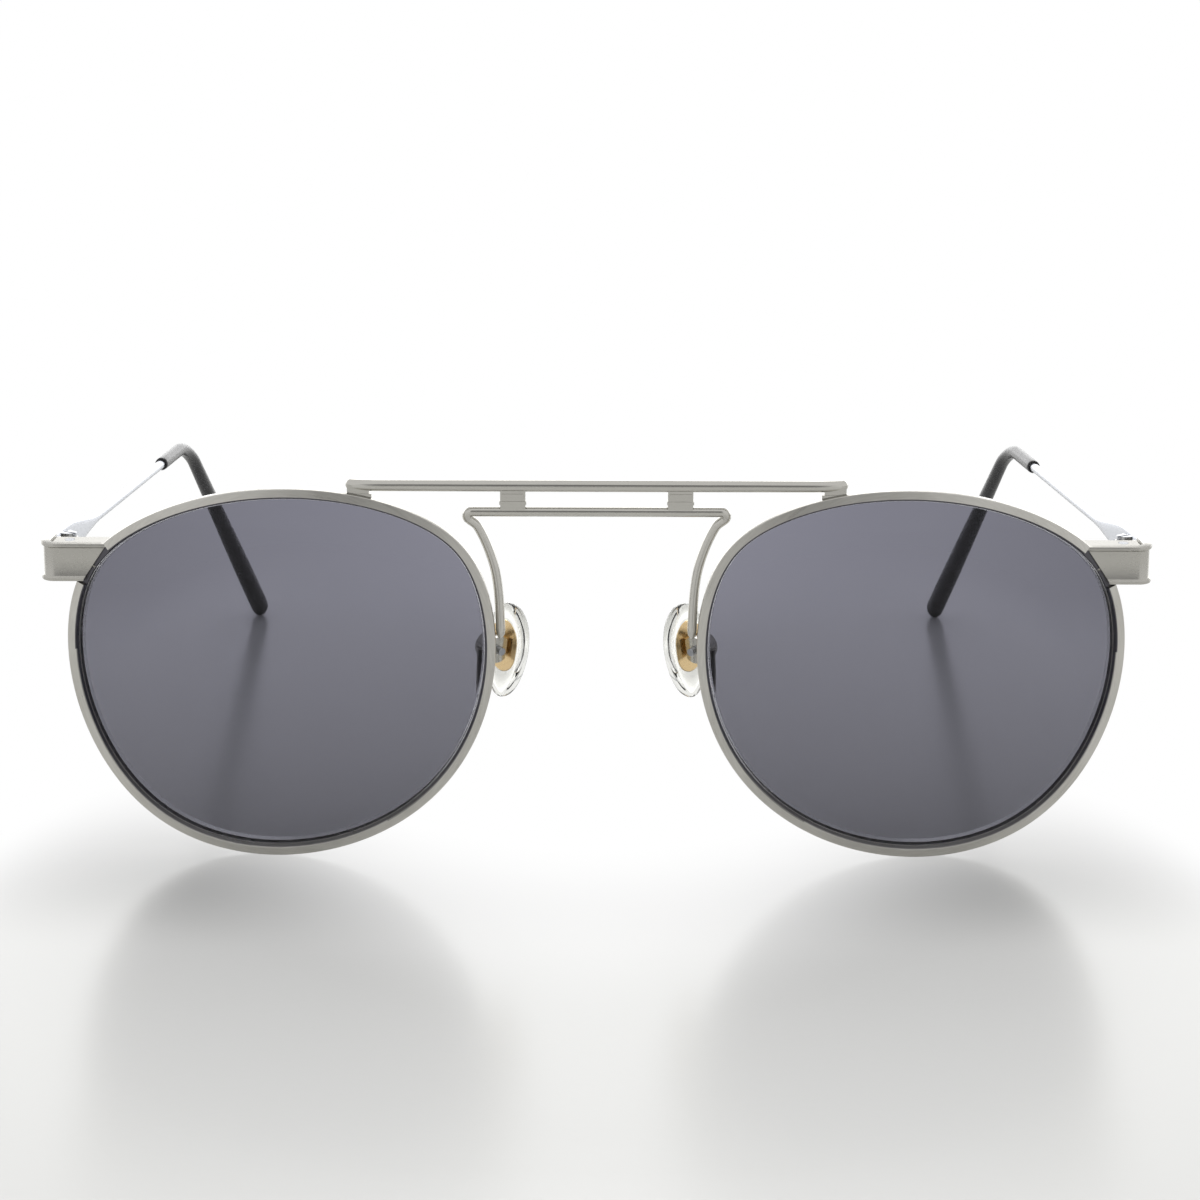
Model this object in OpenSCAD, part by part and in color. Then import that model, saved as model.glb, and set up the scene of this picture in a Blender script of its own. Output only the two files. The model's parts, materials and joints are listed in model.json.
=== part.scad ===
/* [Lenses] */
// Width of each lens opening
lens_w = 50; // [47:0.5:53]
// Height of each lens opening, measured along the front
lens_h = 44.6; // [42:0.1:47]
// Clear distance across the nose between the two lens openings
nose_gap = 26.86; // [26:0.02:29]
// How far above its middle a lens opening is widest
lens_high = 3.45; // [2.5:0.05:4]
// How much the four corners of the outline are filled out
lens_full = 0.84; // [0.5:0.02:1]
// How far the outline is skewed, down towards the nose
lens_skew = -1.35; // [-1.5:0.05:0]
// How much each side of the outline is turned at its corners
lens_turn = 0.75; // [0:0.05:1]
// Radius of the curve that lenses and rims are bent to
base_r = 100; // [90:1:140]
// Angle that each lens is turned back from the bridge
wrap = 5; // [2:0.5:6]
// Thickness of a lens
lens_t = 1.8; // [1.6:0.1:2.2]
// Clearance of a lens in its rim
lens_fit = 0.08; // [0.05:0.01:0.1]

/* [Rims] */
// Width of the flat face of the rim wire
rim_w = 1.15; // [1:0.05:1.4]
// Depth of the rim wire from front to back
rim_d = 2.3; // [2.1:0.1:2.6]
// How far the outer wall of the rim wire swells past its face
rim_swell = 0.2; // [0.1:0.05:0.25]
// Depth of the lens groove
groove_d = 0.5; // [0.4:0.05:0.6]
// Half of the groove's width at its mouth
groove_h = 0.55; // [0.5:0.05:0.6]
// Depth of the groove's middle behind the rim's face
groove_v = 1.3; // [1.25:0.05:1.4]
// Gap where each rim is split at its closing blocks
split_gap = 0.2; // [0.15:0.05:0.3]
// How far the rim's front lip is milled back beside the end piece
lip_relief = 0.55; // [0.4:0.05:0.6]

/* [Bridge] */
// How far each end of the brow bar stops short of the middle of its lens
brow_in = 8.63; // [7.8:0.01:10]
// Diameter of the brow bar at its middle
brow_d = 1.32; // [1.2:0.02:1.4]
// Height of the brow bar above half the height of a lens opening
brow_rise = 1.6; // [1.5:0.1:2.2]
// Depth of both bars behind the front plane
bar_y = 3.2; // [3:0.1:3.4]
// How far each bend of the lower bar reaches past the edge of the lens opening
lower_over = 2.57; // [2.2:0.01:3]
// Diameter of the lower bar and its struts
lower_d = 1.05; // [0.95:0.05:1.1]
// Distance between the middles of the two bars
bar_gap = 3.3; // [3.1:0.1:3.6]
// Distance from the centre line to the middle of each post
post_x = 9.95; // [8:0.05:11]
// Width of each post between the bars
post_w = 3; // [2.4:0.1:3.6]
// Thickness of each post from front to back
post_t = 1; // [0.8:0.1:1.1]
// Length of the foot under each end of the brow bar
foot_len = 2.6; // [2:0.1:3]
// Gap that the braze fills between joined pieces
braze_gap = 0.03; // [0.02:0.01:0.04]

/* [End pieces] */
// How far the outer face of an end piece stands out past the lens opening
end_reach = 3.57; // [3.4:0.01:4.5]
// Height of an end piece
end_h = 4.7; // [4.5:0.1:5]
// How far its middle lies below half the height of a lens opening
end_drop = 8.95; // [8.3:0.05:9.3]
// Thickness of the end piece strip over its ridges
end_t = 1.1; // [1:0.05:1.2]
// Height of the raised ridge along its top and bottom
ridge_h = 0.55; // [0.4:0.05:0.7]
// How far the ridges stand proud of the flat between them
ridge_t = 0.28; // [0.2:0.02:0.35]
// How far an end piece stands in front of the rim's face
end_proud = 0.3; // [0.2:0.05:0.5]
// Gap between the rim and the slanted inner edge of the end piece
end_gap = 0.22; // [0.18:0.01:0.3]
// Radius of its outer corner
end_r = 1.8; // [1.4:0.1:2]
// Depth of the closing blocks behind the end piece
lock_d = 2.6; // [2.5:0.1:3]
// Diameter of the closing screw
lock_screw_d = 1.2; // [1:0.1:1.4]

/* [Hinges] */
// Distance of each hinge axis in from the outer face of the end piece
hinge_in = 2.55; // [2.4:0.01:2.6]
// Distance of each hinge axis behind the face of the end piece
hinge_back = 6.2; // [6:0.1:7]
// Diameter of the hinge barrels
barrel_d = 2.3; // [2.2:0.05:2.4]
// Height of the three barrels together
barrel_h = 3.8; // [3.6:0.1:4]
// Share of that height that the middle barrel takes
barrel_mid = 0.38; // [0.34:0.01:0.42]
// Diameter of the hinge screw
hinge_screw_d = 1.2; // [1:0.05:1.3]
// Running clearance between hinge barrels, and round the screw
run_gap = 0.05; // [0.04:0.01:0.08]
// Thickness of the hinge leaves
leaf_t = 0.42; // [0.35:0.01:0.45]
// Length of the hinge leaves
leaf_len = 5; // [4:0.5:6]

/* [Temples] */
// Distance from the hinge axis back to the bend over the ear
temple_len = 85.7; // [82:0.1:92]
// Length of the part that drops behind the ear
drop_len = 53.2; // [50:0.1:56]
// Radius of the bend
bend_r = 14; // [10:1:20]
// Angle that the temples fall towards the back when the glasses stand
temple_fall = 1.2; // [0.8:0.1:2]
// Angle that each temple leans in towards the head
temple_in = 3.1; // [2:0.1:3.5]
// Angle that each tip is bent in further
tip_in = 4.2; // [3:0.1:6]
// Height of the temple blade at the hinge
blade_h = 4.2; // [3.6:0.1:4.4]
// Thickness of the temple blade
blade_t = 1.05; // [0.9:0.05:1.1]
// Distance from the hinge axis at which the blade has narrowed to the wire
blade_len = 26; // [22:1:32]
// Thickness of the temple wire
wire_d = 1.25; // [1.15:0.05:1.4]
// Gap between the end piece and the temple when it is open
butt_gap = 0.12; // [0.1:0.01:0.15]
// Distance from the hinge axis to the start of the temple tip
sock_start = 67.7; // [62:0.1:70]
// Thickness of the temple tip where it starts
sock_d = 1.85; // [1.75:0.05:2.2]
// Width of the temple tip near its end
tip_w = 2.7; // [2.4:0.1:3]
// Height of the temple tip near its end
tip_h = 3.3; // [3:0.1:4]
// Thickness of the core wire inside the temple tip
core_d = 1; // [0.9:0.05:1.1]

/* [Nose pads] */
// Length of a nose pad
pad_len = 12; // [11:0.5:13]
// Width of a nose pad
pad_w = 7.4; // [7:0.1:8]
// Thickness of a nose pad
pad_t = 2; // [1.8:0.1:2.2]
// How far each pad's pivot lies in from the edge of the lens opening
pad_in = 0.73; // [0.55:0.01:0.83]
// Distance of each pivot behind the front plane
pad_y = 7.6; // [7.4:0.1:8]
// Height of each pivot above the middle of the lenses
pad_z = 2.2; // [2:0.1:2.8]
// Angle between each pad and the centre plane, opening towards the face
pad_splay = 38; // [34:1:42]
// Angle that each pad leans, wider at the foot
pad_lean = 8; // [6:1:10]
// Diameter of the pad box at the end of the pad arm
box_d = 3.4; // [3.2:0.1:3.6]
// Width of the pad box
box_w = 2.6; // [2.4:0.1:2.8]
// Thickness of the lug that turns in the pad box
lug_t = 0.9; // [0.8:0.05:1]
// Diameter of the pad screw
pad_screw_d = 1; // [0.9:0.05:1.1]
// Diameter of the pad arm
arm_d = 1; // [0.9:0.05:1.1]

/* [Front] */
// Angle that the top of the front leans forward when the glasses stand
front_lean = 5; // [3:0.5:6]

/* [Hidden] */

steel = [0.66, 0.65, 0.62];
bright = [0.8, 0.8, 0.78];
gold = [0.78, 0.62, 0.36];
smoke = [0.32, 0.31, 0.34];
clear = [0.9, 0.92, 0.92];
black = [0.1, 0.1, 0.11];

$fn = 32;
rim_steps = 80;
edge_c = 0.12;
lens_lip = 0.45;
tiny = 0.01;

// General functions for points, turns and skins

function turn_x(p, a) = [p[0], p[1] * cos(a) - p[2] * sin(a), p[1] * sin(a) + p[2] * cos(a)];
function turn_y(p, a) = [p[0] * cos(a) + p[2] * sin(a), p[1], -p[0] * sin(a) + p[2] * cos(a)];
function turn_z(p, a) = [p[0] * cos(a) - p[1] * sin(a), p[0] * sin(a) + p[1] * cos(a), p[2]];
function unit(v) = v / norm(v);
function mix(a, b, t) = a + (b - a) * t;
function smooth(t) = let (k = min(1, max(0, t))) k * k * (3 - 2 * k);
function bezier(p, t) =
    pow(1 - t, 3) * p[0] + 3 * t * pow(1 - t, 2) * p[1] + 3 * t * t * (1 - t) * p[2] + pow(t, 3) * p[3];

// Side faces between rings that each have n points
function wall(first, rings, n) = [
    for (i = [0 : rings - 2], j = [0 : n - 1])
        let (a = first + i * n + j, b = first + i * n + (j + 1) % n)
        each [[a, b + n, b], [a, a + n, b + n]]
];

// A closed skin over open rings, with the end face given as triangles or one fan
module skin(rings, cap = []) {
    n = len(rings[0]);
    last = (len(rings) - 1) * n;
    front = len(cap) > 0 ? cap : [for (j = [1 : n - 2]) [0, j, j + 1]];
    back = [for (f = front) [last + f[2], last + f[1], last + f[0]]];
    polyhedron(points = [for (r = rings) each r],
        faces = concat(wall(0, len(rings), n), front, back), convexity = 8);
}

// A closed skin over rings that ends in a point at each end
module pod(first, rings, last) {
    n = len(rings[0]);
    m = len(rings);
    polyhedron(points = concat([first], [for (r = rings) each r], [last]),
        faces = concat([for (j = [0 : n - 1]) [0, 1 + j, 1 + (j + 1) % n]], wall(1, m, n),
            [for (j = [0 : n - 1]) [1 + m * n, 1 + (m - 1) * n + (j + 1) % n, 1 + (m - 1) * n + j]]),
        convexity = 8);
}

// A ring of n points round the path point p with direction d: half axes a across and b upwards.
// square is 1 for an ellipse and smaller for a section with flatter sides.
function ring(p, d, a, b, n, square = 1, up = [0, 0, 1]) =
    let (side = unit(cross(unit(d), up)), rise = cross(side, unit(d)))
    [for (i = [0 : n - 1]) let (t = -360 * (i + 0.5) / n)
        p + side * a * sign(cos(t)) * pow(abs(cos(t)), square)
          + rise * b * sign(sin(t)) * pow(abs(sin(t)), square)];

// A round wire along a list of points, with a radius at each
module wire(path, radii, n, up = [0, 0, 1]) {
    last = len(path) - 1;
    skin([for (i = [0 : last])
        ring(path[i], path[min(last, i + 1)] - path[max(0, i - 1)], radii[i], radii[i], n, 1, up)]);
}

// The lens outline, given by its distance from the middle along each direction a.
// Curves at a set distance u outside it have the same normals.
lens_x = (nose_gap + lens_w) / 2;

// What is carried by the rims keeps its place beside the lens openings
brow_half = lens_x - brow_in;
brow_z = lens_h / 2 + brow_rise;
end_x = lens_x + lens_w / 2 + end_reach;
end_z = lens_h / 2 - end_drop;
hinge_x = end_x - hinge_in;
pad_x = nose_gap / 2 - pad_in;

function reach(a) = (lens_w + lens_h) / 4 + (lens_w - lens_h) / 4 * cos(2 * a)
    + lens_full * (1 - cos(4 * a)) / 2 + lens_high * (sin(a) + sin(3 * a)) / 4
    + lens_skew * sin(2 * a) / 2 + lens_turn * sin(4 * a) / 4;
function reach_slope(a) = -(lens_w - lens_h) / 2 * sin(2 * a)
    + 2 * lens_full * sin(4 * a) + lens_high * (cos(a) + 3 * cos(3 * a)) / 4
    + lens_skew * cos(2 * a) + lens_turn * cos(4 * a);
function outline(a, u) = let (h = reach(a) + u, g = reach_slope(a))
    [h * cos(a) - g * sin(a), h * sin(a) + g * cos(a)];

// A point of the flat outline, set on the base curve at depth v, and then on the wrapped front
function curved(p, v) = let (s = sqrt(base_r * base_r - p * p), k = (base_r - v) / base_r)
    [p[0] * k, base_r - s * k, p[1] * k];
function wrapped(p) = turn_z(p, wrap) + [lens_x, 0, 0];
function rim_point(a, u, v) = wrapped(curved(outline(a, u), v));

// The rim's section as [outwards, depth], from the bottom of the groove; lip is the milled depth
rim_out = rim_w + rim_swell;
swell_v = rim_d * 0.55;
function rim_section(lip) = [
    [groove_d, groove_v],
    [0, groove_v - groove_h],
    [0, lip + edge_c],
    [edge_c, lip],
    [rim_w - edge_c, lip],
    [rim_w, lip + edge_c],
    [rim_w + rim_swell * 0.8, rim_d * 0.36],
    [rim_out, swell_v],
    [rim_w + rim_swell * 0.7, rim_d - edge_c * 2],
    [rim_w - edge_c, rim_d],
    [edge_c, rim_d],
    [0, rim_d - edge_c],
    [0, groove_v + groove_h]];

// The direction at which the outline at distance u is at height z, on the temple or the nose side,
// or along its top at the distance x from the centre line
function temple_side(z, u, lo = -40, hi = 90, n = 24) = let (m = (lo + hi) / 2)
    n == 0 ? m : outline(m, u)[1] < z ? temple_side(z, u, m, hi, n - 1) : temple_side(z, u, lo, m, n - 1);
function nose_side(z, u, lo = 90, hi = 220, n = 24) = let (m = (lo + hi) / 2)
    n == 0 ? m : outline(m, u)[1] > z ? nose_side(z, u, m, hi, n - 1) : nose_side(z, u, lo, m, n - 1);
function top_side(x, u, lo = 90, hi = 180, n = 24) = let (m = (lo + hi) / 2)
    n == 0 ? m : outline(m, u)[0] > x - lens_x ? top_side(x, u, m, hi, n - 1) : top_side(x, u, lo, m, n - 1);

// The whole front leans forward, and the glasses stand on their rims and temple tips.
// These give a point of the front, or one beside a hinge, where the glasses stand.
rim_low = min([for (a = [230 : 2 : 320], q = rim_section(0)) turn_x(rim_point(a, q[0], q[1]), front_lean)[2]]);
stand_z = -rim_low;

end_front = rim_point(temple_side(end_z, rim_w), rim_w, 0)[1] - end_proud;
hinge_y = end_front + hinge_back;
end_pitch = front_lean + temple_fall;
hinge_mid = [hinge_x, hinge_y, end_z - (hinge_back - end_r) * tan(end_pitch)];
hinge_up = turn_x(hinge_mid, front_lean) + [0, 0, stand_z];

// The drop of the tip is set so that its rounded end just touches the surface it stands on
tip_end = tip_h * 0.6;
function drop_to(a, n) = n == 0 ? a - temple_fall
    : drop_to(asin((hinge_up[2] - temple_len * sin(temple_fall) - norm([tip_end * sin(a), tip_h / 2 * cos(a)]))
        / (drop_len - tip_end)), n - 1);
drop_angle = drop_to(40, 6);
bend_run = bend_r * tan(drop_angle / 2);
bend_arc = bend_r * drop_angle * PI / 180;
bend_start = temple_len - bend_run;
path_len = bend_start + bend_arc + drop_len - bend_run;
wire_x = end_x - hinge_x - blade_t / 2;

function temple_path(s) =
    let (past = max(0, s - bend_start), x = wire_x - tan(tip_in) * past * smooth(past / bend_arc))
    s <= bend_start ? [wire_x, s, 0]
    : past < bend_arc
        ? let (t = past / bend_r * 180 / PI) [x, bend_start + bend_r * sin(t), -bend_r * (1 - cos(t))]
        : let (leg = past - bend_arc + bend_run)
            [x, temple_len + leg * cos(drop_angle), -leg * sin(drop_angle)];
function temple_dir(s) = temple_path(s + 0.1) - temple_path(s - 0.1);

function from_hinge(p) = hinge_up + turn_x(turn_z(p, temple_in), -temple_fall);

// How far the standing glasses reach to the front and to the back, so that they can be centred
front_reach = min([for (a = [0 : 10 : 350], k = [0.2, 0.35, 0.5, 0.7]) turn_x(wrapped(curved(
    outline(a, 0) * k, groove_v - lens_lip)), front_lean)[1]]);
back_reach = from_hinge(temple_path(path_len - tip_end))[1]
    + norm([tip_end * cos(drop_angle + temple_fall), tip_h / 2 * sin(drop_angle + temple_fall)]);
centre_y = -(front_reach + back_reach) / 2;

module on_front() {
    translate([0, centre_y, stand_z]) rotate([front_lean, 0, 0]) children();
}
module on_hinge() {
    translate([0, centre_y, 0]) translate(hinge_up) rotate([-temple_fall, 0, 0]) children();
}
module on_temple() {
    on_hinge() rotate([0, 0, temple_in]) children();
}
module on_pad() {
    on_front() translate([pad_x, pad_y, pad_z]) rotate([0, -pad_lean, 0])
        rotate([0, 0, 90 - pad_splay]) children();
}
module left() {
    mirror([1, 0, 0]) children();
}

// Rims: a grooved wire that is bent round each lens and split beside the end piece

function rim_ring(a, lip) = [for (q = rim_section(lip)) rim_point(a, q[0], q[1])];

split_low = temple_side(end_z - split_gap / 2, rim_w);
split_high = temple_side(end_z + split_gap / 2, rim_w);
relief_low = temple_side(end_z - end_h / 2, rim_w);
relief_high = temple_side(end_z + end_h / 2, rim_w);
relief_ramp = 0.4;
relief_steps = 3;
free_steps = rim_steps - 2 * relief_steps;

module eyewire() {
    color(steel) on_front() skin(concat(
        [for (i = [0 : relief_steps]) rim_ring(mix(split_high, relief_high, i / relief_steps), lip_relief)],
        [for (i = [0 : free_steps])
            rim_ring(mix(relief_high + relief_ramp, relief_low + 360 - relief_ramp, i / free_steps), 0)],
        [for (i = [0 : relief_steps])
            rim_ring(mix(relief_low + 360, split_low + 360, i / relief_steps), lip_relief)]));
}

// The space that a rim takes between two directions, grown by the braze gap
module rim_space(from, to) {
    g = braze_gap;
    section = [[-g, -g], [rim_w - edge_c, -g], [rim_w + g, edge_c], [rim_w + rim_swell * 0.8 + g, rim_d * 0.36],
        [rim_out + g, swell_v], [rim_w + rim_swell * 0.7 + g, rim_d - edge_c * 2],
        [rim_w - edge_c, rim_d + g], [-g, rim_d + g]];
    steps = 10;
    skin([for (i = [0 : steps]) [for (q = section) rim_point(mix(from, to, i / steps), q[0], q[1])]]);
}

// Lenses: a shell on the base curve, with a bevelled edge that sits in the groove
function lens_ring(u, v, k = 1) =
    [for (i = [0 : rim_steps - 1]) wrapped(curved(outline(-360 * i / rim_steps, u) * k, v))];

module lens() {
    front_v = groove_v - lens_lip;
    bevel = groove_h - lens_fit * 2;
    color(smoke, 0.8) on_front() pod(wrapped(curved([0, 0], front_v)), [
        lens_ring(-lens_fit, front_v, 0.35),
        lens_ring(-lens_fit, front_v, 0.7),
        lens_ring(-lens_fit, front_v),
        lens_ring(-lens_fit, groove_v - bevel),
        lens_ring(groove_d - lens_fit * 1.5, groove_v),
        lens_ring(-lens_fit, groove_v + bevel),
        lens_ring(-lens_fit, front_v + lens_t),
        lens_ring(-lens_fit, front_v + lens_t, 0.7),
        lens_ring(-lens_fit, front_v + lens_t, 0.35)],
        wrapped(curved([0, 0], front_v + lens_t)));
}

// Brow bar: a straight drawn wire, thickest in the middle, its rounded ends drawn back a little
brow_taper = 0.06;
brow_back_from = 4;
brow_back_r = 14;
lower_z = brow_z - bar_gap;

function brow_r(x) = brow_d / 2 * (1 - brow_taper * pow(x / brow_half, 2));
function brow_path(x) =
    [x, bar_y + pow(max(0, abs(x) - (brow_half - brow_back_from)), 2) / (2 * brow_back_r), brow_z];

module brow_bar() {
    half = concat([0, 0.25, 0.5, 0.7, 0.86, 0.91, 0.95],
        [for (t = [0 : 18 : 90]) 1 - brow_d / 2 / brow_half * (1 - sin(t))]);
    xs = concat([for (i = [len(half) - 1 : -1 : 1]) -half[i]], half);
    round_from = brow_half - brow_d / 2;
    color(steel) on_front() wire([for (k = xs) brow_path(k * brow_half)],
        [for (k = xs) let (over = max(0, abs(k * brow_half) - round_from) / (brow_d / 2))
            max(0.04, brow_r(k * brow_half) * sqrt(max(0, 1 - over * over)))], 16);
}

// Feet: small lugs that join the ends of the brow bar to the tops of the rims
foot_x = brow_half - foot_len / 2 - 0.2;

module brow_foot() {
    near = top_side(foot_x - foot_len / 2, rim_out);
    low = rim_point(near, rim_out, swell_v)[2] - 0.35;
    foot_t = 1.1;
    step = 0.3;
    high = brow_z - low;
    color(steel) on_front() difference() {
        union() {
            translate([foot_x - foot_len / 2, bar_y - foot_t / 2, low]) cube([foot_len, foot_t, high]);
            translate([foot_x - foot_len / 2 - step, bar_y - foot_t / 2 - step / 2, low])
                cube([foot_len + step, foot_t + step, high - brow_d * 0.8]);
        }
        wire([for (x = [foot_x - foot_len : 0.5 : brow_half + 1]) brow_path(x)],
            [for (x = [foot_x - foot_len : 0.5 : brow_half + 1]) brow_r(x) + braze_gap], 16);
        rim_space(near - 20, near + 14);
        translate([0, 0, brow_z]) cube([brow_half * 2, 10, 2]);
    }
}

// Lower bar: one wire, bent back and down at each end into a strut that lies on the rim
bend_wire_r = 0.95;
bend_back = 20;
bend_turn = 115;
strut_z = 5.4;

module bridge_wire() {
    straight = nose_gap / 2 + lower_over - bend_wire_r - lower_d / 2;
    down = [0, sin(bend_back), -cos(bend_back)];
    centre = [straight, bar_y, lower_z] + bend_wire_r * down;
    function bend(t) = centre + bend_wire_r * (sin(t) * [1, 0, 0] - cos(t) * down);
    corner = bend(bend_turn);
    along = cos(bend_turn) * [1, 0, 0] + sin(bend_turn) * down;
    a = nose_side(strut_z, rim_out);
    strut_r = lower_d * 0.45;
    foot = rim_point(a, rim_out + strut_r + braze_gap * 2, swell_v);
    above = rim_point(nose_side(strut_z + 6.5, rim_out), rim_out + strut_r + 1.15, swell_v * 1.3);
    pull = [corner, corner + 3.2 * along, above, foot];
    half = concat([[0, bar_y, lower_z], [straight * 0.5, bar_y, lower_z]],
        [for (t = [0 : bend_turn / 6 : bend_turn + tiny]) bend(t)],
        [for (i = [1 : 11]) bezier(pull, i / 11)],
        [foot + [0, 0, -0.4]]);
    n = len(half);
    radii = [for (i = [0 : n - 1]) i < 8 ? lower_d / 2 : i < n - 2 ? strut_r : strut_r * (i < n - 1 ? 0.85 : 0.4)];
    both = concat([for (i = [n - 1 : -1 : 1]) [-half[i][0], half[i][1], half[i][2]]], half);
    both_r = concat([for (i = [n - 1 : -1 : 1]) radii[i]], radii);
    color(steel) on_front() difference() {
        wire(both, both_r, 12, [0, 1, 0]);
        rim_space(a - 30, a + 8);
        left() rim_space(a - 30, a + 8);
    }
}

// Posts: stepped blocks between the two bars, hollowed where they seat on them
module bridge_post() {
    neck = 0.2;
    mid = (brow_z + lower_z) / 2;
    color(steel) on_front() difference() {
        union() {
            translate([post_x, bar_y, mid]) cube([post_w, post_t, bar_gap], center = true);
            translate([post_x, bar_y, mid + bar_gap * 0.12])
                cube([post_w - neck * 2, post_t + neck, bar_gap * 0.16], center = true);
            translate([post_x, bar_y, mid - bar_gap * 0.14])
                cube([post_w + neck, post_t + neck, bar_gap * 0.12], center = true);
        }
        for (bar = [[brow_z, brow_r(post_x)], [lower_z, lower_d / 2]])
            translate([0, bar_y, bar[0]]) rotate([0, 90, 0])
                cylinder(r = bar[1] + braze_gap, h = post_x * 2);
        translate([0, bar_y - 2, brow_z]) cube([post_x * 2, 4, 2]);
        translate([0, bar_y - 2, lower_z - 2]) cube([post_x * 2, 4, 2]);
    }
}

// End pieces: a ridged strip that starts at the rim, turns a corner and runs back to the hinge

// The section as [depth, height], and its end face in triangles
end_section = [
    [ridge_t, -end_h / 2 + ridge_h],
    [0, -end_h / 2 + ridge_h - 0.1],
    [0, -end_h / 2 + 0.12],
    [0.12, -end_h / 2],
    [end_t, -end_h / 2],
    [end_t, end_h / 2],
    [0.12, end_h / 2],
    [0, end_h / 2 - 0.12],
    [0, end_h / 2 - ridge_h + 0.1],
    [ridge_t, end_h / 2 - ridge_h]];
end_cap = [[4, 5, 9], [4, 9, 0], [4, 0, 1], [4, 1, 2], [4, 2, 3], [5, 6, 7], [5, 7, 8], [5, 8, 9]];

function outer_x(z) = rim_point(temple_side(z, rim_out), rim_out, swell_v)[0];
function end_corner(t) = let (up = turn_x([0, 0, 1], -end_pitch * t / 90), out = [sin(t), -cos(t), 0])
    [for (q = end_section)
        [end_x - end_r, end_front + end_r, end_z] + (end_r - q[0]) * out + q[1] * up];

module endpiece() {
    front = [for (k = [0 : 2]) [for (q = end_section)
        [mix(outer_x(end_z + q[1]) + end_gap, end_x - end_r, k / 3), end_front + q[0], end_z + q[1]]]];
    corner = [for (t = [0 : 15 : 90]) end_corner(t)];
    side = [for (y = [-hinge_back * 0.35, 0]) [for (q = end_section)
        hinge_mid + turn_x([end_x - hinge_x - q[0], y, q[1]], -end_pitch)]];
    color(steel) on_front() skin(concat(front, corner, side), end_cap);
}

// Closing blocks: brazed to the two ends of the split rim, behind the end piece
lock_y = end_front + end_t + braze_gap;
lock_out = end_x - end_t - leaf_t - braze_gap * 4;
lock_screw_x = lock_out - 1.7;
lock_screw_y = lock_y + lock_d / 2 + 0.2;
lock_h = (end_h - split_gap) / 2 - 0.2;

module lock_block(z0) {
    z1 = z0 + lock_h;
    into = rim_w * 0.6;
    difference() {
        translate([0, lock_y + lock_d, 0]) rotate([90, 0, 0]) linear_extrude(lock_d)
            polygon([[outer_x(z0) - into, z0], [lock_out, z0], [lock_out, z1], [outer_x(z1) - into, z1]]);
        rim_space(temple_side(z0 - 1.5, rim_w), temple_side(z1 + 1.5, rim_w));
    }
}

module rim_lock_upper() {
    z0 = end_z + split_gap / 2;
    color(steel) on_front() difference() {
        lock_block(z0);
        translate([lock_screw_x, lock_screw_y, z0 - 1])
            cylinder(d = lock_screw_d + 2 * braze_gap, h = lock_h + 2);
    }
}

module rim_lock_lower() {
    z0 = end_z - split_gap / 2 - lock_h;
    color(steel) on_front() difference() {
        lock_block(z0);
        translate([lock_screw_x, lock_screw_y, z0 - 1])
            cylinder(d = lock_screw_d + 2 * run_gap, h = lock_h + 2);
    }
}

module slot(d, deep) {
    translate([-d, -d * 0.08, -deep]) cube([2 * d, d * 0.16, deep + 1]);
}

module lock_screw() {
    z0 = end_z - split_gap / 2 - lock_h;
    head_h = 0.45;
    color(bright) on_front() translate([lock_screw_x, lock_screw_y, z0]) {
        difference() {
            translate([0, 0, -head_h - braze_gap]) cylinder(d = lock_screw_d * 1.6, h = head_h);
            translate([0, 0, -head_h - braze_gap]) rotate([180, 0, 20]) slot(lock_screw_d, 0.2);
        }
        translate([0, 0, -head_h / 2]) cylinder(d = lock_screw_d, h = head_h / 2 + lock_h * 2 + split_gap);
    }
}

// Hinges: three barrels on one screw, two on the front leaf and one on the temple leaf
mid_h = barrel_h * barrel_mid;
outer_h = (barrel_h - mid_h) / 2 - run_gap;
leaf_out = end_x - end_t - hinge_x - braze_gap;
temple_leaf_out = wire_x - blade_t / 2 - braze_gap;

module barrel(z0, h, bore, out, side) {
    web = barrel_d / 2 + 0.3;
    difference() {
        union() {
            translate([0, 0, z0]) cylinder(d = barrel_d, h = h);
            translate([0, side > 0 ? 0 : -web, z0]) cube([out, web, h]);
        }
        translate([0, 0, z0 - 1]) cylinder(d = bore, h = h + 2);
    }
}

module hinge_leaf_front() {
    bore = hinge_screw_d + 2 * braze_gap;
    long = min(leaf_len, hinge_back - end_r - 0.6);
    color(steel) on_hinge() {
        barrel(mid_h / 2 + run_gap, outer_h, bore, leaf_out, -1);
        barrel(-mid_h / 2 - run_gap - outer_h, outer_h, bore, leaf_out, -1);
        translate([leaf_out - leaf_t, -long, -barrel_h / 2])
            cube([leaf_t, long - barrel_d / 2 - run_gap, barrel_h]);
    }
}

module hinge_leaf_temple() {
    start = barrel_d / 2 + run_gap;
    color(steel) on_temple() {
        barrel(-mid_h / 2, mid_h, hinge_screw_d + 2 * run_gap, temple_leaf_out, 1);
        translate([temple_leaf_out - leaf_t, start, -barrel_h * 0.42])
            cube([leaf_t, leaf_len, barrel_h * 0.84]);
    }
}

module hinge_screw() {
    head_h = 0.5;
    top = barrel_h / 2;
    color(bright) on_hinge() difference() {
        union() {
            translate([0, 0, -top]) cylinder(d = hinge_screw_d, h = top * 2 + head_h);
            translate([0, 0, top + braze_gap]) cylinder(d = barrel_d * 0.86, h = head_h);
        }
        translate([0, 0, top + head_h + braze_gap]) rotate([0, 0, 35]) slot(barrel_d, 0.2);
    }
}

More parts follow.
